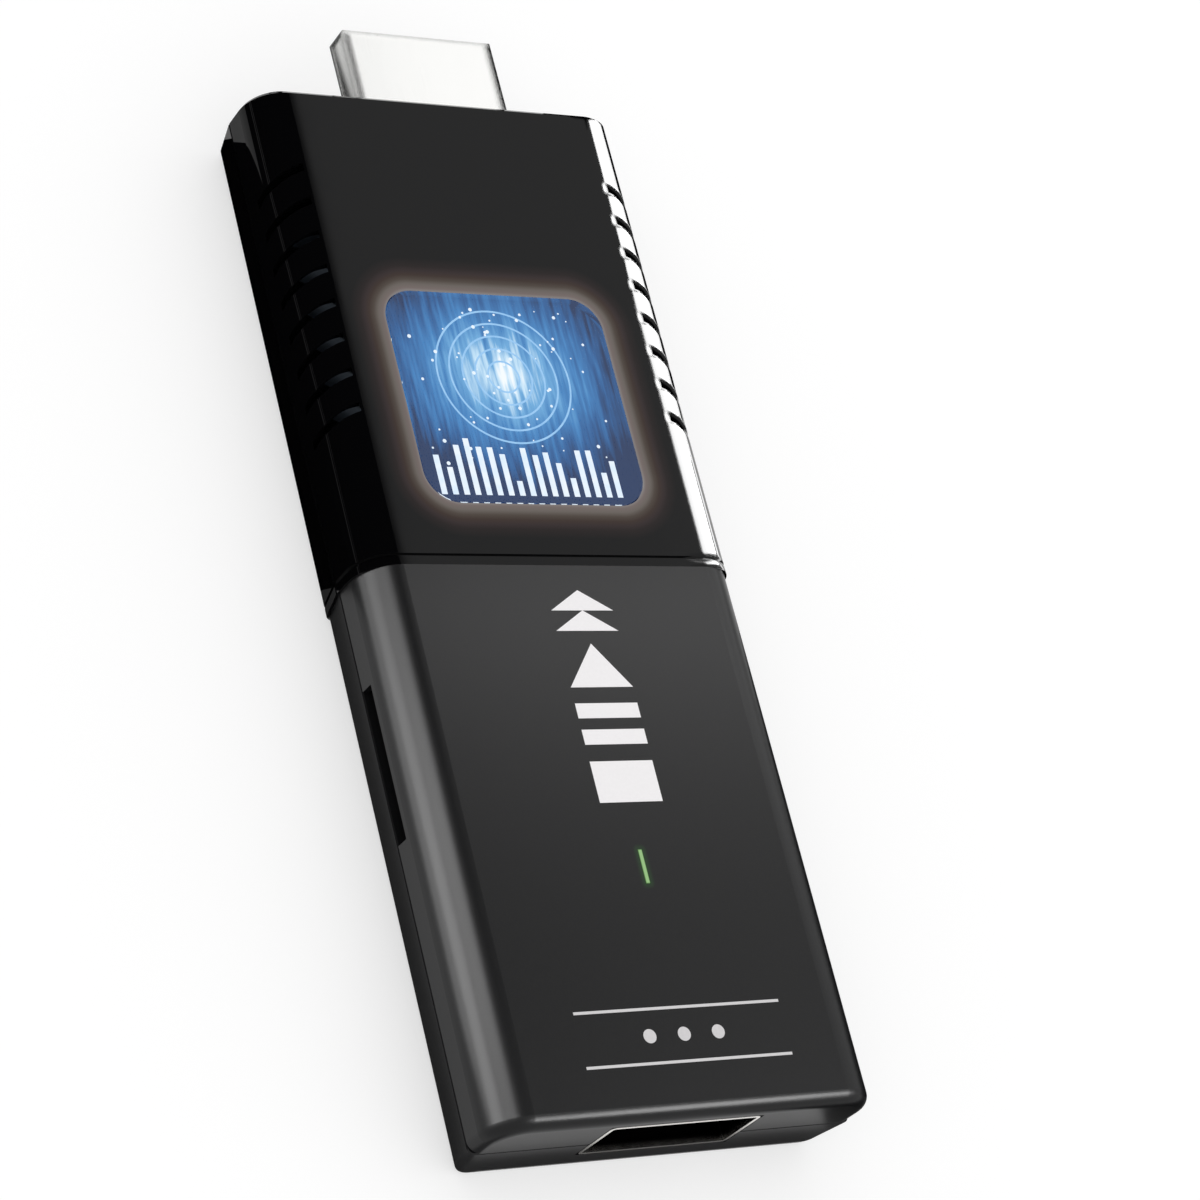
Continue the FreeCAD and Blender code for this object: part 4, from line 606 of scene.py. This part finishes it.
dress(sheet_metal("nickel_plated_steel", "#fffffd", 0.12, "Y", PLUG_EDGE), "hdmi_shell")
dress(port_metal(), "usb_shell")
for name, tone, rough, streak_along, pieces in METALS:
    dress(sheet_metal(name, tone, rough, streak_along), *pieces)

# %% [markdown]
# ## The inner pieces
# The packages on the board and the plastic inside the sockets are moulded, fired or pressed. Up close each
# of them shows a grain, such as filler in epoxy or glass fibre in nylon. One function makes them all, from
# two tones, a grain size in millimetres and a range of roughness.

# %% Finishes of the inner pieces
FILLER_DEPTH = 0.004 * MM
FILLER_STRENGTH = 0.4
GRAINED = [
    ("glass_filled_nylon", "#0b0b0c", "#161617", 0.2, 0.38, 0.55,
     ("hdmi_insulator", "usb_insulator", "micro_usb_insulator", "tf_base")),
    ("ivory_acetal", "#d8d3c4", "#e6e2d6", 0.4, 0.28, 0.4, ("tf_slider",)),
    ("moulded_epoxy", "#17171a", "#252528", 0.1, 0.5, 0.7, ("processor", "memory_chips", "flash_chip")),
    ("silicone_pad", "#7d929e", "#92a6b1", 0.5, 0.6, 0.8, ("thermal_pad",)),
    ("pressed_ferrite", "#2e2e30", "#434346", 0.15, 0.55, 0.75, ("inductors",)),
    ("glazed_ceramic", "#cfc8b6", "#e2dccb", 0.3, 0.2, 0.35, ("chip_antenna",)),
    ("fired_ceramic", "#8f7252", "#ab8a64", 0.12, 0.45, 0.65, ("capacitors",)),
    ("white_reflector_film", "#ededea", "#f6f6f3", 0.8, 0.3, 0.4, ("reflector_film",)),
]


def grained(name, dark, pale, grain, rough_low, rough_high, depth=FILLER_DEPTH):
    """A finish whose tone, roughness and height all follow one fine grain."""
    material, tree, shader, point = new_finish(name)
    noise = add_node(tree, "ShaderNodeTexNoise", {"Vector": point, "Scale": 1 / grain, "Detail": 3.0})
    tone = add_node(
        tree, "ShaderNodeMix", {0: noise.outputs[0], 6: colour(dark), 7: colour(pale)}, data_type="RGBA")
    rough = add_node(
        tree, "ShaderNodeMapRange", {"Value": noise.outputs[0], "To Min": rough_low, "To Max": rough_high})
    bump = add_node(
        tree, "ShaderNodeBump",
        {"Height": noise.outputs[0], "Strength": FILLER_STRENGTH, "Distance": depth})
    set_inputs(tree, shader, {
        "Base Color": tone.outputs[2], "Roughness": rough.outputs[0], "Normal": bump.outputs[0]})
    return material


for name, dark, pale, grain, rough_low, rough_high, pieces in GRAINED:
    dress(grained(name, dark, pale, grain * MM, rough_low, rough_high), *pieces)

# %% [markdown]
# ## The circuit board
# The board is glass-fibre epoxy under green solder mask. The copper tracks under the mask stand a little
# proud and look paler, and the weave of the glass shows as a faint grid of 0.5 mm. Bands that turn from
# cell to cell stand for the tracks, and a checker for the weave.

# %% Finish of the board
WEAVE = 0.5 * MM
WEAVE_SHARE = 0.15
TRACK_PITCH = 0.7 * MM
TRACK_FIELD = 6 * TRACK_PITCH
TRACK_DISTORTION = 2.0
TRACK_EDGE = 0.55
TRACK_HEIGHT = 0.02 * MM
TRACK_STRENGTH = 0.5
MASK_ROUGH = 0.32


def solder_mask():
    """Green solder mask over copper tracks and woven glass."""
    material, tree, shader, point = new_finish("green_solder_mask")
    cells = add_node(
        tree, "ShaderNodeTexVoronoi", {"Vector": point, "Scale": 1 / TRACK_FIELD}, distance="MANHATTAN")
    tracks = add_node(
        tree, "ShaderNodeTexWave",
        {"Vector": cells.outputs["Position"], "Scale": 1 / TRACK_PITCH,
         "Distortion": TRACK_DISTORTION}, bands_direction="DIAGONAL")
    weave = add_node(tree, "ShaderNodeTexChecker", {"Vector": point, "Scale": 1 / WEAVE})
    grid = add_node(
        tree, "ShaderNodeMapRange", {"Value": weave.outputs["Fac"], "To Min": 0.0, "To Max": WEAVE_SHARE})
    raised = add_node(
        tree, "ShaderNodeMath", {0: tracks.outputs["Fac"], 1: TRACK_EDGE}, operation="GREATER_THAN")
    mixed = add_node(
        tree, "ShaderNodeMath", {0: raised.outputs[0], 1: grid.outputs[0]}, operation="MAXIMUM")
    tone = add_node(
        tree, "ShaderNodeMix",
        {0: mixed.outputs[0], 6: colour("#0b3a20"), 7: colour("#1c6238")}, data_type="RGBA")
    bump = add_node(
        tree, "ShaderNodeBump",
        {"Height": mixed.outputs[0], "Strength": TRACK_STRENGTH, "Distance": TRACK_HEIGHT})
    set_inputs(tree, shader, {
        "Base Color": tone.outputs[2], "Roughness": MASK_ROUGH, "Normal": bump.outputs[0]})
    return material


dress(solder_mask(), "circuit_board")

# %% [markdown]
# ## The window
# The window is a clear acrylic block set flush in the gloss cover. Under it lies a thin printed film, and
# under that a light guide with lamps along its edge, so the picture shines. Acrylic bends light: it needs
# full transmission and an index of 1.49. The light guide and the film pass light on as a milky glow.

# %% Finishes of the window's layers
ACRYLIC_IOR = 1.49
ACRYLIC_SPECULAR = 0.25
ACRYLIC_ROUGH = (0.0, 0.02)
ACRYLIC_RIPPLE = 2 * MM
LAYER_ROUGH = 0.3


def clear_acrylic():
    """Clear cast acrylic with the faintest unevenness of its polish."""
    material, tree, shader, point = new_finish("polished_acrylic")
    polish = add_node(tree, "ShaderNodeTexNoise", {"Vector": point, "Scale": 1 / ACRYLIC_RIPPLE})
    rough = add_node(
        tree, "ShaderNodeMapRange",
        {"Value": polish.outputs[0], "To Min": ACRYLIC_ROUGH[0], "To Max": ACRYLIC_ROUGH[1]})
    set_inputs(tree, shader, {
        "Base Color": colour("#fbfdff"), "Roughness": rough.outputs[0],
        "Specular IOR Level": ACRYLIC_SPECULAR, "IOR": ACRYLIC_IOR, "Transmission Weight": 1.0})
    return material


def lit_layer(name, tone, glow, strength, grain):
    """A milky layer that glows evenly, with a faint grain."""
    material, tree, shader, point = new_finish(name)
    noise = add_node(tree, "ShaderNodeTexNoise", {"Vector": point, "Scale": 1 / grain})
    body = add_node(
        tree, "ShaderNodeMix", {0: noise.outputs[0], 6: colour(tone), 7: colour(glow)}, data_type="RGBA")
    set_inputs(tree, shader, {
        "Base Color": body.outputs[2], "Roughness": LAYER_ROUGH, "Emission Color": body.outputs[2],
        "Emission Strength": strength})
    return material


dress(clear_acrylic(), "window_lens")
dress(lit_layer("milky_polyester_film", "#4d86bd", "#6fa6d6", strength=0.5, grain=1.0 * MM), "picture_film")
dress(lit_layer("edge_lit_acrylic", "#c9ddf2", "#e9f3ff", strength=0.8, grain=2.0 * MM), "light_guide")
dress(lit_layer("phosphor_lamp", "#efe7b4", "#fff9dc", strength=1.0, grain=0.2 * MM), "backlight_leds")

# %% [markdown]
# ## Flat printed shapes
# The window's picture and the marks on the roof are thin flat shapes. Each is a closed solid over an
# outline in plan, made in mesh code, because a print has a real thickness and its edge catches light.

# %% Helpers for flat shapes


def rounded_outline(middle, half, corner, steps=8):
    """The points of a rounded rectangle in plan, counted to the left."""
    points = []
    for quarter in range(4):
        turn_x = (1, -1, -1, 1)[quarter]
        turn_y = (1, 1, -1, -1)[quarter]
        for step in range(steps + 1):
            angle = (quarter + step / steps) * math.pi / 2
            points.append((middle[0] + turn_x * (half[0] - corner) + corner * math.cos(angle),
                           middle[1] + turn_y * (half[1] - corner) + corner * math.sin(angle)))
    return points


def flat_prisms(name, outlines, low, high, material):
    """Closed flat solids over plan outlines, as one piece that rides on the housing."""
    shape = bmesh.new()
    for outline in outlines:
        bottom = [shape.verts.new((x, y, low)) for x, y in outline]
        top = [shape.verts.new((x, y, high)) for x, y in outline]
        shape.faces.new(list(reversed(bottom)))
        shape.faces.new(top)
        for index in range(len(outline)):
            after = (index + 1) % len(outline)
            shape.faces.new((bottom[index], bottom[after], top[after], top[index]))
    mesh = bpy.data.meshes.new(name)
    shape.to_mesh(mesh)
    shape.free()
    mesh.materials.append(material)
    piece = bpy.data.objects.new(name, mesh)
    bpy.context.collection.objects.link(piece)
    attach(piece, "housing")
    print(name, "has", len(mesh.polygons), "faces")


# %% [markdown]
# ## The ground of the picture
# The picture is the kind that such a display shows while it plays: rings that spread from one bright
# point, a row of sound bars and a scatter of sparks, all in white and blue on navy. Its ground is a thin
# printed sheet whose glow comes from nodes. The distance from the bright point sets the tone, and streaks
# of noise run along the stick.

# %% Ground of the picture
INK = 0.02 * MM
PICTURE_LOW = FILM_HIGH[2] + 0.01 * MM
PICTURE_HIGH = PICTURE_LOW + INK
SHEET_MARGIN = 0.02 * MM
BRIGHT_X = WINDOW_X
BRIGHT_Y = WINDOW_Y + 2.4 * MM
GLOW_REACH = 10.0 * MM
GLOW_SQUASH = (0.85, 1, 0)
GLOW_STREAK_WIDTH = 0.45 * MM
GLOW_STREAK_LENGTH = 5 * MM
GLOW_STREAK_SHIFT = 0.40
GLOW_TONES = [(0.0, "#f8fdff"), (0.12, "#c4e4f8"), (0.28, "#6aaada"), (0.52, "#3a80bd"),
              (0.78, "#1f5a94"), (1.0, "#122f58")]


def picture_ground():
    """Backlit ink: a glow that falls from white to navy, broken by fine streaks."""
    material, tree, shader, point = new_finish("backlit_blue_ink")
    shifted = add_node(
        tree, "ShaderNodeVectorMath", {0: point, 1: (BRIGHT_X, BRIGHT_Y, 0)}, operation="SUBTRACT")
    flat = add_node(
        tree, "ShaderNodeVectorMath", {0: shifted.outputs[0], 1: GLOW_SQUASH}, operation="MULTIPLY")
    reach = add_node(tree, "ShaderNodeVectorMath", {0: flat.outputs[0]}, operation="LENGTH")
    share = add_node(tree, "ShaderNodeMath", {0: reach.outputs["Value"], 1: GLOW_REACH}, operation="DIVIDE")
    fineness = (1 / GLOW_STREAK_WIDTH, 1 / GLOW_STREAK_LENGTH, 1 / GLOW_STREAK_LENGTH)
    mapping = add_node(tree, "ShaderNodeMapping", {"Vector": point, "Scale": fineness})
    streaks = add_node(
        tree, "ShaderNodeTexNoise", {"Vector": mapping.outputs[0], "Scale": 1.0, "Detail": 3.0})
    shift = add_node(
        tree, "ShaderNodeMapRange",
        {"Value": streaks.outputs[0], "To Min": GLOW_STREAK_SHIFT, "To Max": -GLOW_STREAK_SHIFT})
    mixed = add_node(tree, "ShaderNodeMath", {0: share.outputs[0], 1: shift.outputs[0]}, operation="ADD")
    ramp = add_node(tree, "ShaderNodeValToRGB", {0: mixed.outputs[0]})
    set_tones(ramp.color_ramp, GLOW_TONES)
    set_inputs(tree, shader, {
        "Base Color": colour("#0a1830"), "Specular IOR Level": 0.0, "Emission Color": ramp.outputs[0],
        "Emission Strength": 1.0})
    return material


sheet_half = [(FILM_HIGH[axis] - FILM_LOW[axis]) / 2 - SHEET_MARGIN for axis in (0, 1)]
flat_prisms("picture_ground", [rounded_outline((WINDOW_X, WINDOW_Y), sheet_half, WINDOW_ROUND)],
            PICTURE_LOW, PICTURE_HIGH, picture_ground())

# %% [markdown]
# ## Rings, bars and sparks
# These three motifs repeat, so each is a small tree of geometry nodes: points first, then one shape copied
# on to each point, then real faces and a finish. The sizes are named inputs of the tree, and each random
# number has a fixed seed. The modifier runs once, and its result is kept as a plain mesh.

# %% Helpers for the geometry trees
INK_MOTTLE = 0.8 * MM


def new_growth(name, sizes):
    """An empty geometry tree with named sizes, and the outputs that carry them."""
    tree = bpy.data.node_groups.new(name, "GeometryNodeTree")
    tree.interface.new_socket("Geometry", in_out="OUTPUT", socket_type="NodeSocketGeometry")
    for label, value in sizes.items():
        kind = "NodeSocketInt" if isinstance(value, int) else "NodeSocketFloat"
        tree.interface.new_socket(label, in_out="INPUT", socket_type=kind)
    return tree, add_node(tree, "NodeGroupInput").outputs


def grow(tree, shape, sizes, material):
    """Gives the tree its end, runs it once with its sizes, and keeps the result as a plain mesh."""
    real = add_node(tree, "GeometryNodeRealizeInstances", {0: shape})
    finished = add_node(
        tree, "GeometryNodeSetMaterial", {"Geometry": real.outputs[0], "Material": material})
    add_node(tree, "NodeGroupOutput", {0: finished.outputs[0]})
    piece = bpy.data.objects.new(tree.name, bpy.data.meshes.new(tree.name))
    bpy.context.collection.objects.link(piece)
    modifier = piece.modifiers.new("growth", "NODES")
    modifier.node_group = tree
    for socket in tree.interface.items_tree:
        if socket.in_out == "INPUT":
            modifier[socket.identifier] = sizes[socket.name]
    ready = piece.evaluated_get(bpy.context.evaluated_depsgraph_get())
    mesh = bpy.data.meshes.new_from_object(ready)
    piece.modifiers.remove(modifier)
    piece.data = mesh
    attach(piece, "housing")
    print(tree.name, "has", len(mesh.polygons), "faces")


def backlit_ink(name, tone, edge_tone):
    """Thin printed ink that glows where light comes through, a little uneven as screen print is."""
    material, tree, shader, point = new_finish(name)
    noise = add_node(tree, "ShaderNodeTexNoise", {"Vector": point, "Scale": 1 / INK_MOTTLE})
    ink = add_node(
        tree, "ShaderNodeMix",
        {0: noise.outputs[0], 6: colour(tone), 7: colour(edge_tone)}, data_type="RGBA")
    set_inputs(tree, shader, {
        "Base Color": colour("#20354f"), "Specular IOR Level": 0.0, "Emission Color": ink.outputs[2],
        "Emission Strength": 1.0})
    return material


# %% [markdown]
# ## The rings
# Each ring is a circle with a small flat section swept along it. The circles differ in radius, and scaling
# a finished ring would scale its line width too. So the plain circle is scaled first, and the section is
# swept along it after that.

# %% Rings of the picture
CIRCLE_POINTS = 72
RING_SIZES = {"Ring Count": 5, "First Radius": 1.4 * MM, "Ring Step": 1.15 * MM, "Line Width": 0.16 * MM,
              "Thickness": INK, "Middle X": BRIGHT_X, "Middle Y": BRIGHT_Y,
              "Height": PICTURE_HIGH + INK / 2}


def grow_rings():
    """Rings that spread from the bright point of the picture."""
    tree, size = new_growth("picture_rings", RING_SIZES)
    middle = add_node(
        tree, "ShaderNodeCombineXYZ", {"X": size["Middle X"], "Y": size["Middle Y"], "Z": size["Height"]})
    points = add_node(
        tree, "GeometryNodeMeshLine",
        {"Count": size["Ring Count"], "Start Location": middle.outputs[0], "Offset": (0, 0, 0)})
    circle = add_node(
        tree, "GeometryNodeCurvePrimitiveCircle", {"Resolution": CIRCLE_POINTS, "Radius": 1.0})
    index = add_node(tree, "GeometryNodeInputIndex")
    growth = add_node(
        tree, "ShaderNodeMath", {0: index.outputs[0], 1: size["Ring Step"]}, operation="MULTIPLY")
    radius = add_node(
        tree, "ShaderNodeMath", {0: growth.outputs[0], 1: size["First Radius"]}, operation="ADD")
    scale = add_node(
        tree, "ShaderNodeCombineXYZ", {"X": radius.outputs[0], "Y": radius.outputs[0], "Z": 1.0})
    copies = add_node(
        tree, "GeometryNodeInstanceOnPoints",
        {"Points": points.outputs[0], "Instance": circle.outputs[0], "Scale": scale.outputs[0]})
    circles = add_node(tree, "GeometryNodeRealizeInstances", {0: copies.outputs[0]})
    section = add_node(
        tree, "GeometryNodeCurvePrimitiveQuadrilateral",
        {"Width": size["Line Width"], "Height": size["Thickness"]})
    rings = add_node(tree, "GeometryNodeCurveToMesh", {0: circles.outputs[0], 1: section.outputs[0]})
    ink = backlit_ink("pale_blue_backlit_ink", "#a9d4f5", "#7fb8e8")
    grow(tree, rings.outputs[0], RING_SIZES, ink)


grow_rings()

# %% [markdown]
# ## The sound bars
# A line of points makes the row. One unit cube is copied to each point and scaled to the bar's width, a
# random height and the ink's thickness. The cube stands on its foot, so that all bars start on one line.

# %% Bars of the picture
BAR_SIZES = {"Bar Count": 17, "Pitch": 1.0 * MM, "Bar Width": 0.5 * MM, "Least Height": 0.7 * MM,
             "Most Height": 5.2 * MM, "Thickness": INK, "Row X": WINDOW_X - 8.0 * MM,
             "Foot Y": WINDOW_Y - 8.3 * MM, "Height": PICTURE_HIGH + 1.5 * INK, "Seed": 11}


def grow_bars():
    """A row of sound bars along the lower edge of the picture."""
    tree, size = new_growth("picture_bars", BAR_SIZES)
    start = add_node(
        tree, "ShaderNodeCombineXYZ", {"X": size["Row X"], "Y": size["Foot Y"], "Z": size["Height"]})
    step = add_node(tree, "ShaderNodeCombineXYZ", {"X": size["Pitch"], "Y": 0.0, "Z": 0.0})
    points = add_node(
        tree, "GeometryNodeMeshLine",
        {"Count": size["Bar Count"], "Start Location": start.outputs[0], "Offset": step.outputs[0]})
    cube = add_node(tree, "GeometryNodeMeshCube", {"Size": (1, 1, 1)})
    footed = add_node(
        tree, "GeometryNodeTransform", {"Geometry": cube.outputs[0], "Translation": (0, 0.5, 0)})
    length = add_node(
        tree, "FunctionNodeRandomValue",
        {2: size["Least Height"], 3: size["Most Height"], "Seed": size["Seed"]}, data_type="FLOAT")
    scale = add_node(
        tree, "ShaderNodeCombineXYZ",
        {"X": size["Bar Width"], "Y": length.outputs[1], "Z": size["Thickness"]})
    bars = add_node(
        tree, "GeometryNodeInstanceOnPoints",
        {"Points": points.outputs[0], "Instance": footed.outputs[0], "Scale": scale.outputs[0]})
    ink = backlit_ink("white_backlit_ink", "#ffffff", "#cfe9ff")
    grow(tree, bars.outputs[0], BAR_SIZES, ink)


grow_bars()

# %% [markdown]
# ## The sparks
# Seventy small discs lie scattered over the ground. Their places and sizes are random numbers with a fixed
# seed, so that every run draws the same sky.

# %% Sparks of the picture
DISC_CORNERS = 10
SPARK_SIZES = {"Spark Count": 70, "Least Radius": 0.05 * MM, "Most Radius": 0.17 * MM, "Thickness": INK,
               "Reach X": 8.8 * MM, "Low Y": WINDOW_Y - 6.0 * MM, "High Y": WINDOW_Y + 8.6 * MM,
               "Height": PICTURE_HIGH + 2.6 * INK, "Seed": 5}


def grow_sparks():
    """Small discs scattered over the picture."""
    tree, size = new_growth("picture_sparks", SPARK_SIZES)
    low_x = add_node(tree, "ShaderNodeMath", {0: size["Reach X"], 1: -1.0}, operation="MULTIPLY")
    low = add_node(
        tree, "ShaderNodeCombineXYZ", {"X": low_x.outputs[0], "Y": size["Low Y"], "Z": size["Height"]})
    high = add_node(
        tree, "ShaderNodeCombineXYZ", {"X": size["Reach X"], "Y": size["High Y"], "Z": size["Height"]})
    spot = add_node(
        tree, "FunctionNodeRandomValue",
        {0: low.outputs[0], 1: high.outputs[0], "Seed": size["Seed"]}, data_type="FLOAT_VECTOR")
    points = add_node(
        tree, "GeometryNodePoints", {"Count": size["Spark Count"], "Position": spot.outputs[0]})
    disc = add_node(
        tree, "GeometryNodeMeshCylinder", {"Vertices": DISC_CORNERS, "Radius": 1.0, "Depth": 1.0})
    next_seed = add_node(tree, "ShaderNodeMath", {0: size["Seed"], 1: 1.0}, operation="ADD")
    radius = add_node(
        tree, "FunctionNodeRandomValue",
        {2: size["Least Radius"], 3: size["Most Radius"], "Seed": next_seed.outputs[0]}, data_type="FLOAT")
    scale = add_node(
        tree, "ShaderNodeCombineXYZ",
        {"X": radius.outputs[1], "Y": radius.outputs[1], "Z": size["Thickness"]})
    sparks = add_node(
        tree, "GeometryNodeInstanceOnPoints",
        {"Points": points.outputs[0], "Instance": disc.outputs[0], "Scale": scale.outputs[0]})
    ink = backlit_ink("spark_backlit_ink", "#ffffff", "#d8efff")
    grow(tree, sparks.outputs[0], SPARK_SIZES, ink)


grow_sparks()

# %% [markdown]
# ## The status light
# A clear rod carries the light of a small green lamp up to the roof. Seen from above its middle is palest
# and its rim is a deeper green, because the light leaves the rod mostly straight ahead.

# %% Finishes of the status light
PIPE_RIM = 0.16 * MM
PIPE_ROUGH = 0.15


def lit_pipe():
    """A clear rod filled with green light, palest along its middle."""
    material, tree, shader, point = new_finish("green_lit_acrylic")
    depth = outside_of(tree, point, (LIGHT_X, LIGHT_Y), LIGHT_HALF, LIGHT_ROUND)
    rim = add_node(
        tree, "ShaderNodeMapRange",
        {"Value": depth, "From Min": -PIPE_RIM, "From Max": 0.0, "To Min": 0.0,
         "To Max": 1.0}, interpolation_type="SMOOTHSTEP")
    light = add_node(
        tree, "ShaderNodeMix",
        {0: rim.outputs[0], 6: colour("#9fc088"), 7: colour("#3c5e28")}, data_type="RGBA")
    set_inputs(tree, shader, {
        "Base Color": colour("#2c5a2a"), "Roughness": PIPE_ROUGH, "IOR": ACRYLIC_IOR,
        "Emission Color": light.outputs[2], "Emission Strength": 1.0})
    return material


dress(lit_pipe(), "light_pipe")
dress(lit_layer("green_lamp_resin", "#4fae4a", "#9be58a", strength=0.8, grain=0.2 * MM), "status_led")

# %% [markdown]
# ## Pad print
# The roof of the matte half carries white pad print. Pad print is a film of ink about 0.02 mm thick, so
# each mark is a flat solid that stands that much proud of the roof, with its foot sunk in it. The ink is
# opaque and its tone is slightly mottled.

# %% Helpers for the prints
PRINT_LOW = ROOF - 0.02 * MM
PRINT_HIGH = ROOF + 0.02 * MM
PRINT_MOTTLE = 0.25 * MM
PRINT_ROUGH = (0.45, 0.6)
PRINT_DEPTH = 0.003 * MM


def pad_print(name, dark, pale):
    """Opaque ink with a slightly mottled tone."""
    return grained(name, dark, pale, PRINT_MOTTLE, PRINT_ROUGH[0], PRINT_ROUGH[1], PRINT_DEPTH)


def box_outline(left, right, low, high):
    """The outline of a plain bar."""
    return [(left, low), (right, low), (right, high), (left, high)]


def arrow_outline(left, right, low, high):
    """The outline of a triangle that points along +Y."""
    return [(left, low), (right, low), ((left + right) / 2, high)]


# %% [markdown]
# ## The playing symbols
# A row of plain playing symbols stands along the stick: stop, pause, play and fast forward. They are made
# of bars and triangles of one width.

# %% Playing symbols on the matte roof
SYMBOL_LEFT = -1.7 * MM
SYMBOL_RIGHT = 3.9 * MM
STOP_LOW = -22.4 * MM
STOP_LENGTH = 3.4 * MM
PAUSE_LOW = -17.6 * MM
PAUSE_BAR = 1.25 * MM
PAUSE_GAP = 0.95 * MM
PLAY_LOW = -12.8 * MM
PLAY_LENGTH = 3.7 * MM
FAST_LOW = -8.0 * MM
FAST_LENGTH = 1.75 * MM

symbols = [box_outline(SYMBOL_LEFT, SYMBOL_RIGHT, STOP_LOW, STOP_LOW + STOP_LENGTH),
           arrow_outline(SYMBOL_LEFT, SYMBOL_RIGHT, PLAY_LOW, PLAY_LOW + PLAY_LENGTH)]
for count in range(2):
    bar_low = PAUSE_LOW + count * (PAUSE_BAR + PAUSE_GAP)
    fast_low = FAST_LOW + count * FAST_LENGTH
    symbols.append(box_outline(SYMBOL_LEFT, SYMBOL_RIGHT, bar_low, bar_low + PAUSE_BAR))
    symbols.append(arrow_outline(SYMBOL_LEFT, SYMBOL_RIGHT, fast_low, fast_low + FAST_LENGTH))
flat_prisms("symbol_print", symbols, PRINT_LOW, PRINT_HIGH,
            pad_print("white_pad_ink", "#f8f6f7", "#fffdfe"))

# %% [markdown]
# ## Lines and dots
# Two thin lines with three dots between them lie across the stick near the port. A dot is a rounded
# rectangle whose corners take up all but a thousandth of it, so that no two of its points fall together.

# %% Lines and dots near the port
MARK_X = 0.5 * MM
MARK_Y = -41.0 * MM
MARK_HALF = 9.0 * MM
LINE_OFF = 2.1 * MM
LINE_HALF = 0.11 * MM
DOT_RADIUS = 0.55 * MM
DOT_CORNER = DOT_RADIUS * 0.999
DOT_PITCH = 3.0 * MM

marks = []
for off in (-LINE_OFF, LINE_OFF):
    marks.append(box_outline(MARK_X - MARK_HALF, MARK_X + MARK_HALF,
                             MARK_Y + off - LINE_HALF, MARK_Y + off + LINE_HALF))
for count in (-1, 0, 1):
    dot_middle = (MARK_X + count * DOT_PITCH, MARK_Y)
    marks.append(rounded_outline(dot_middle, (DOT_RADIUS, DOT_RADIUS), DOT_CORNER))
flat_prisms("line_print", marks, PRINT_LOW, PRINT_HIGH,
            pad_print("pale_pad_ink", "#d2d0d1", "#e0dedf"))
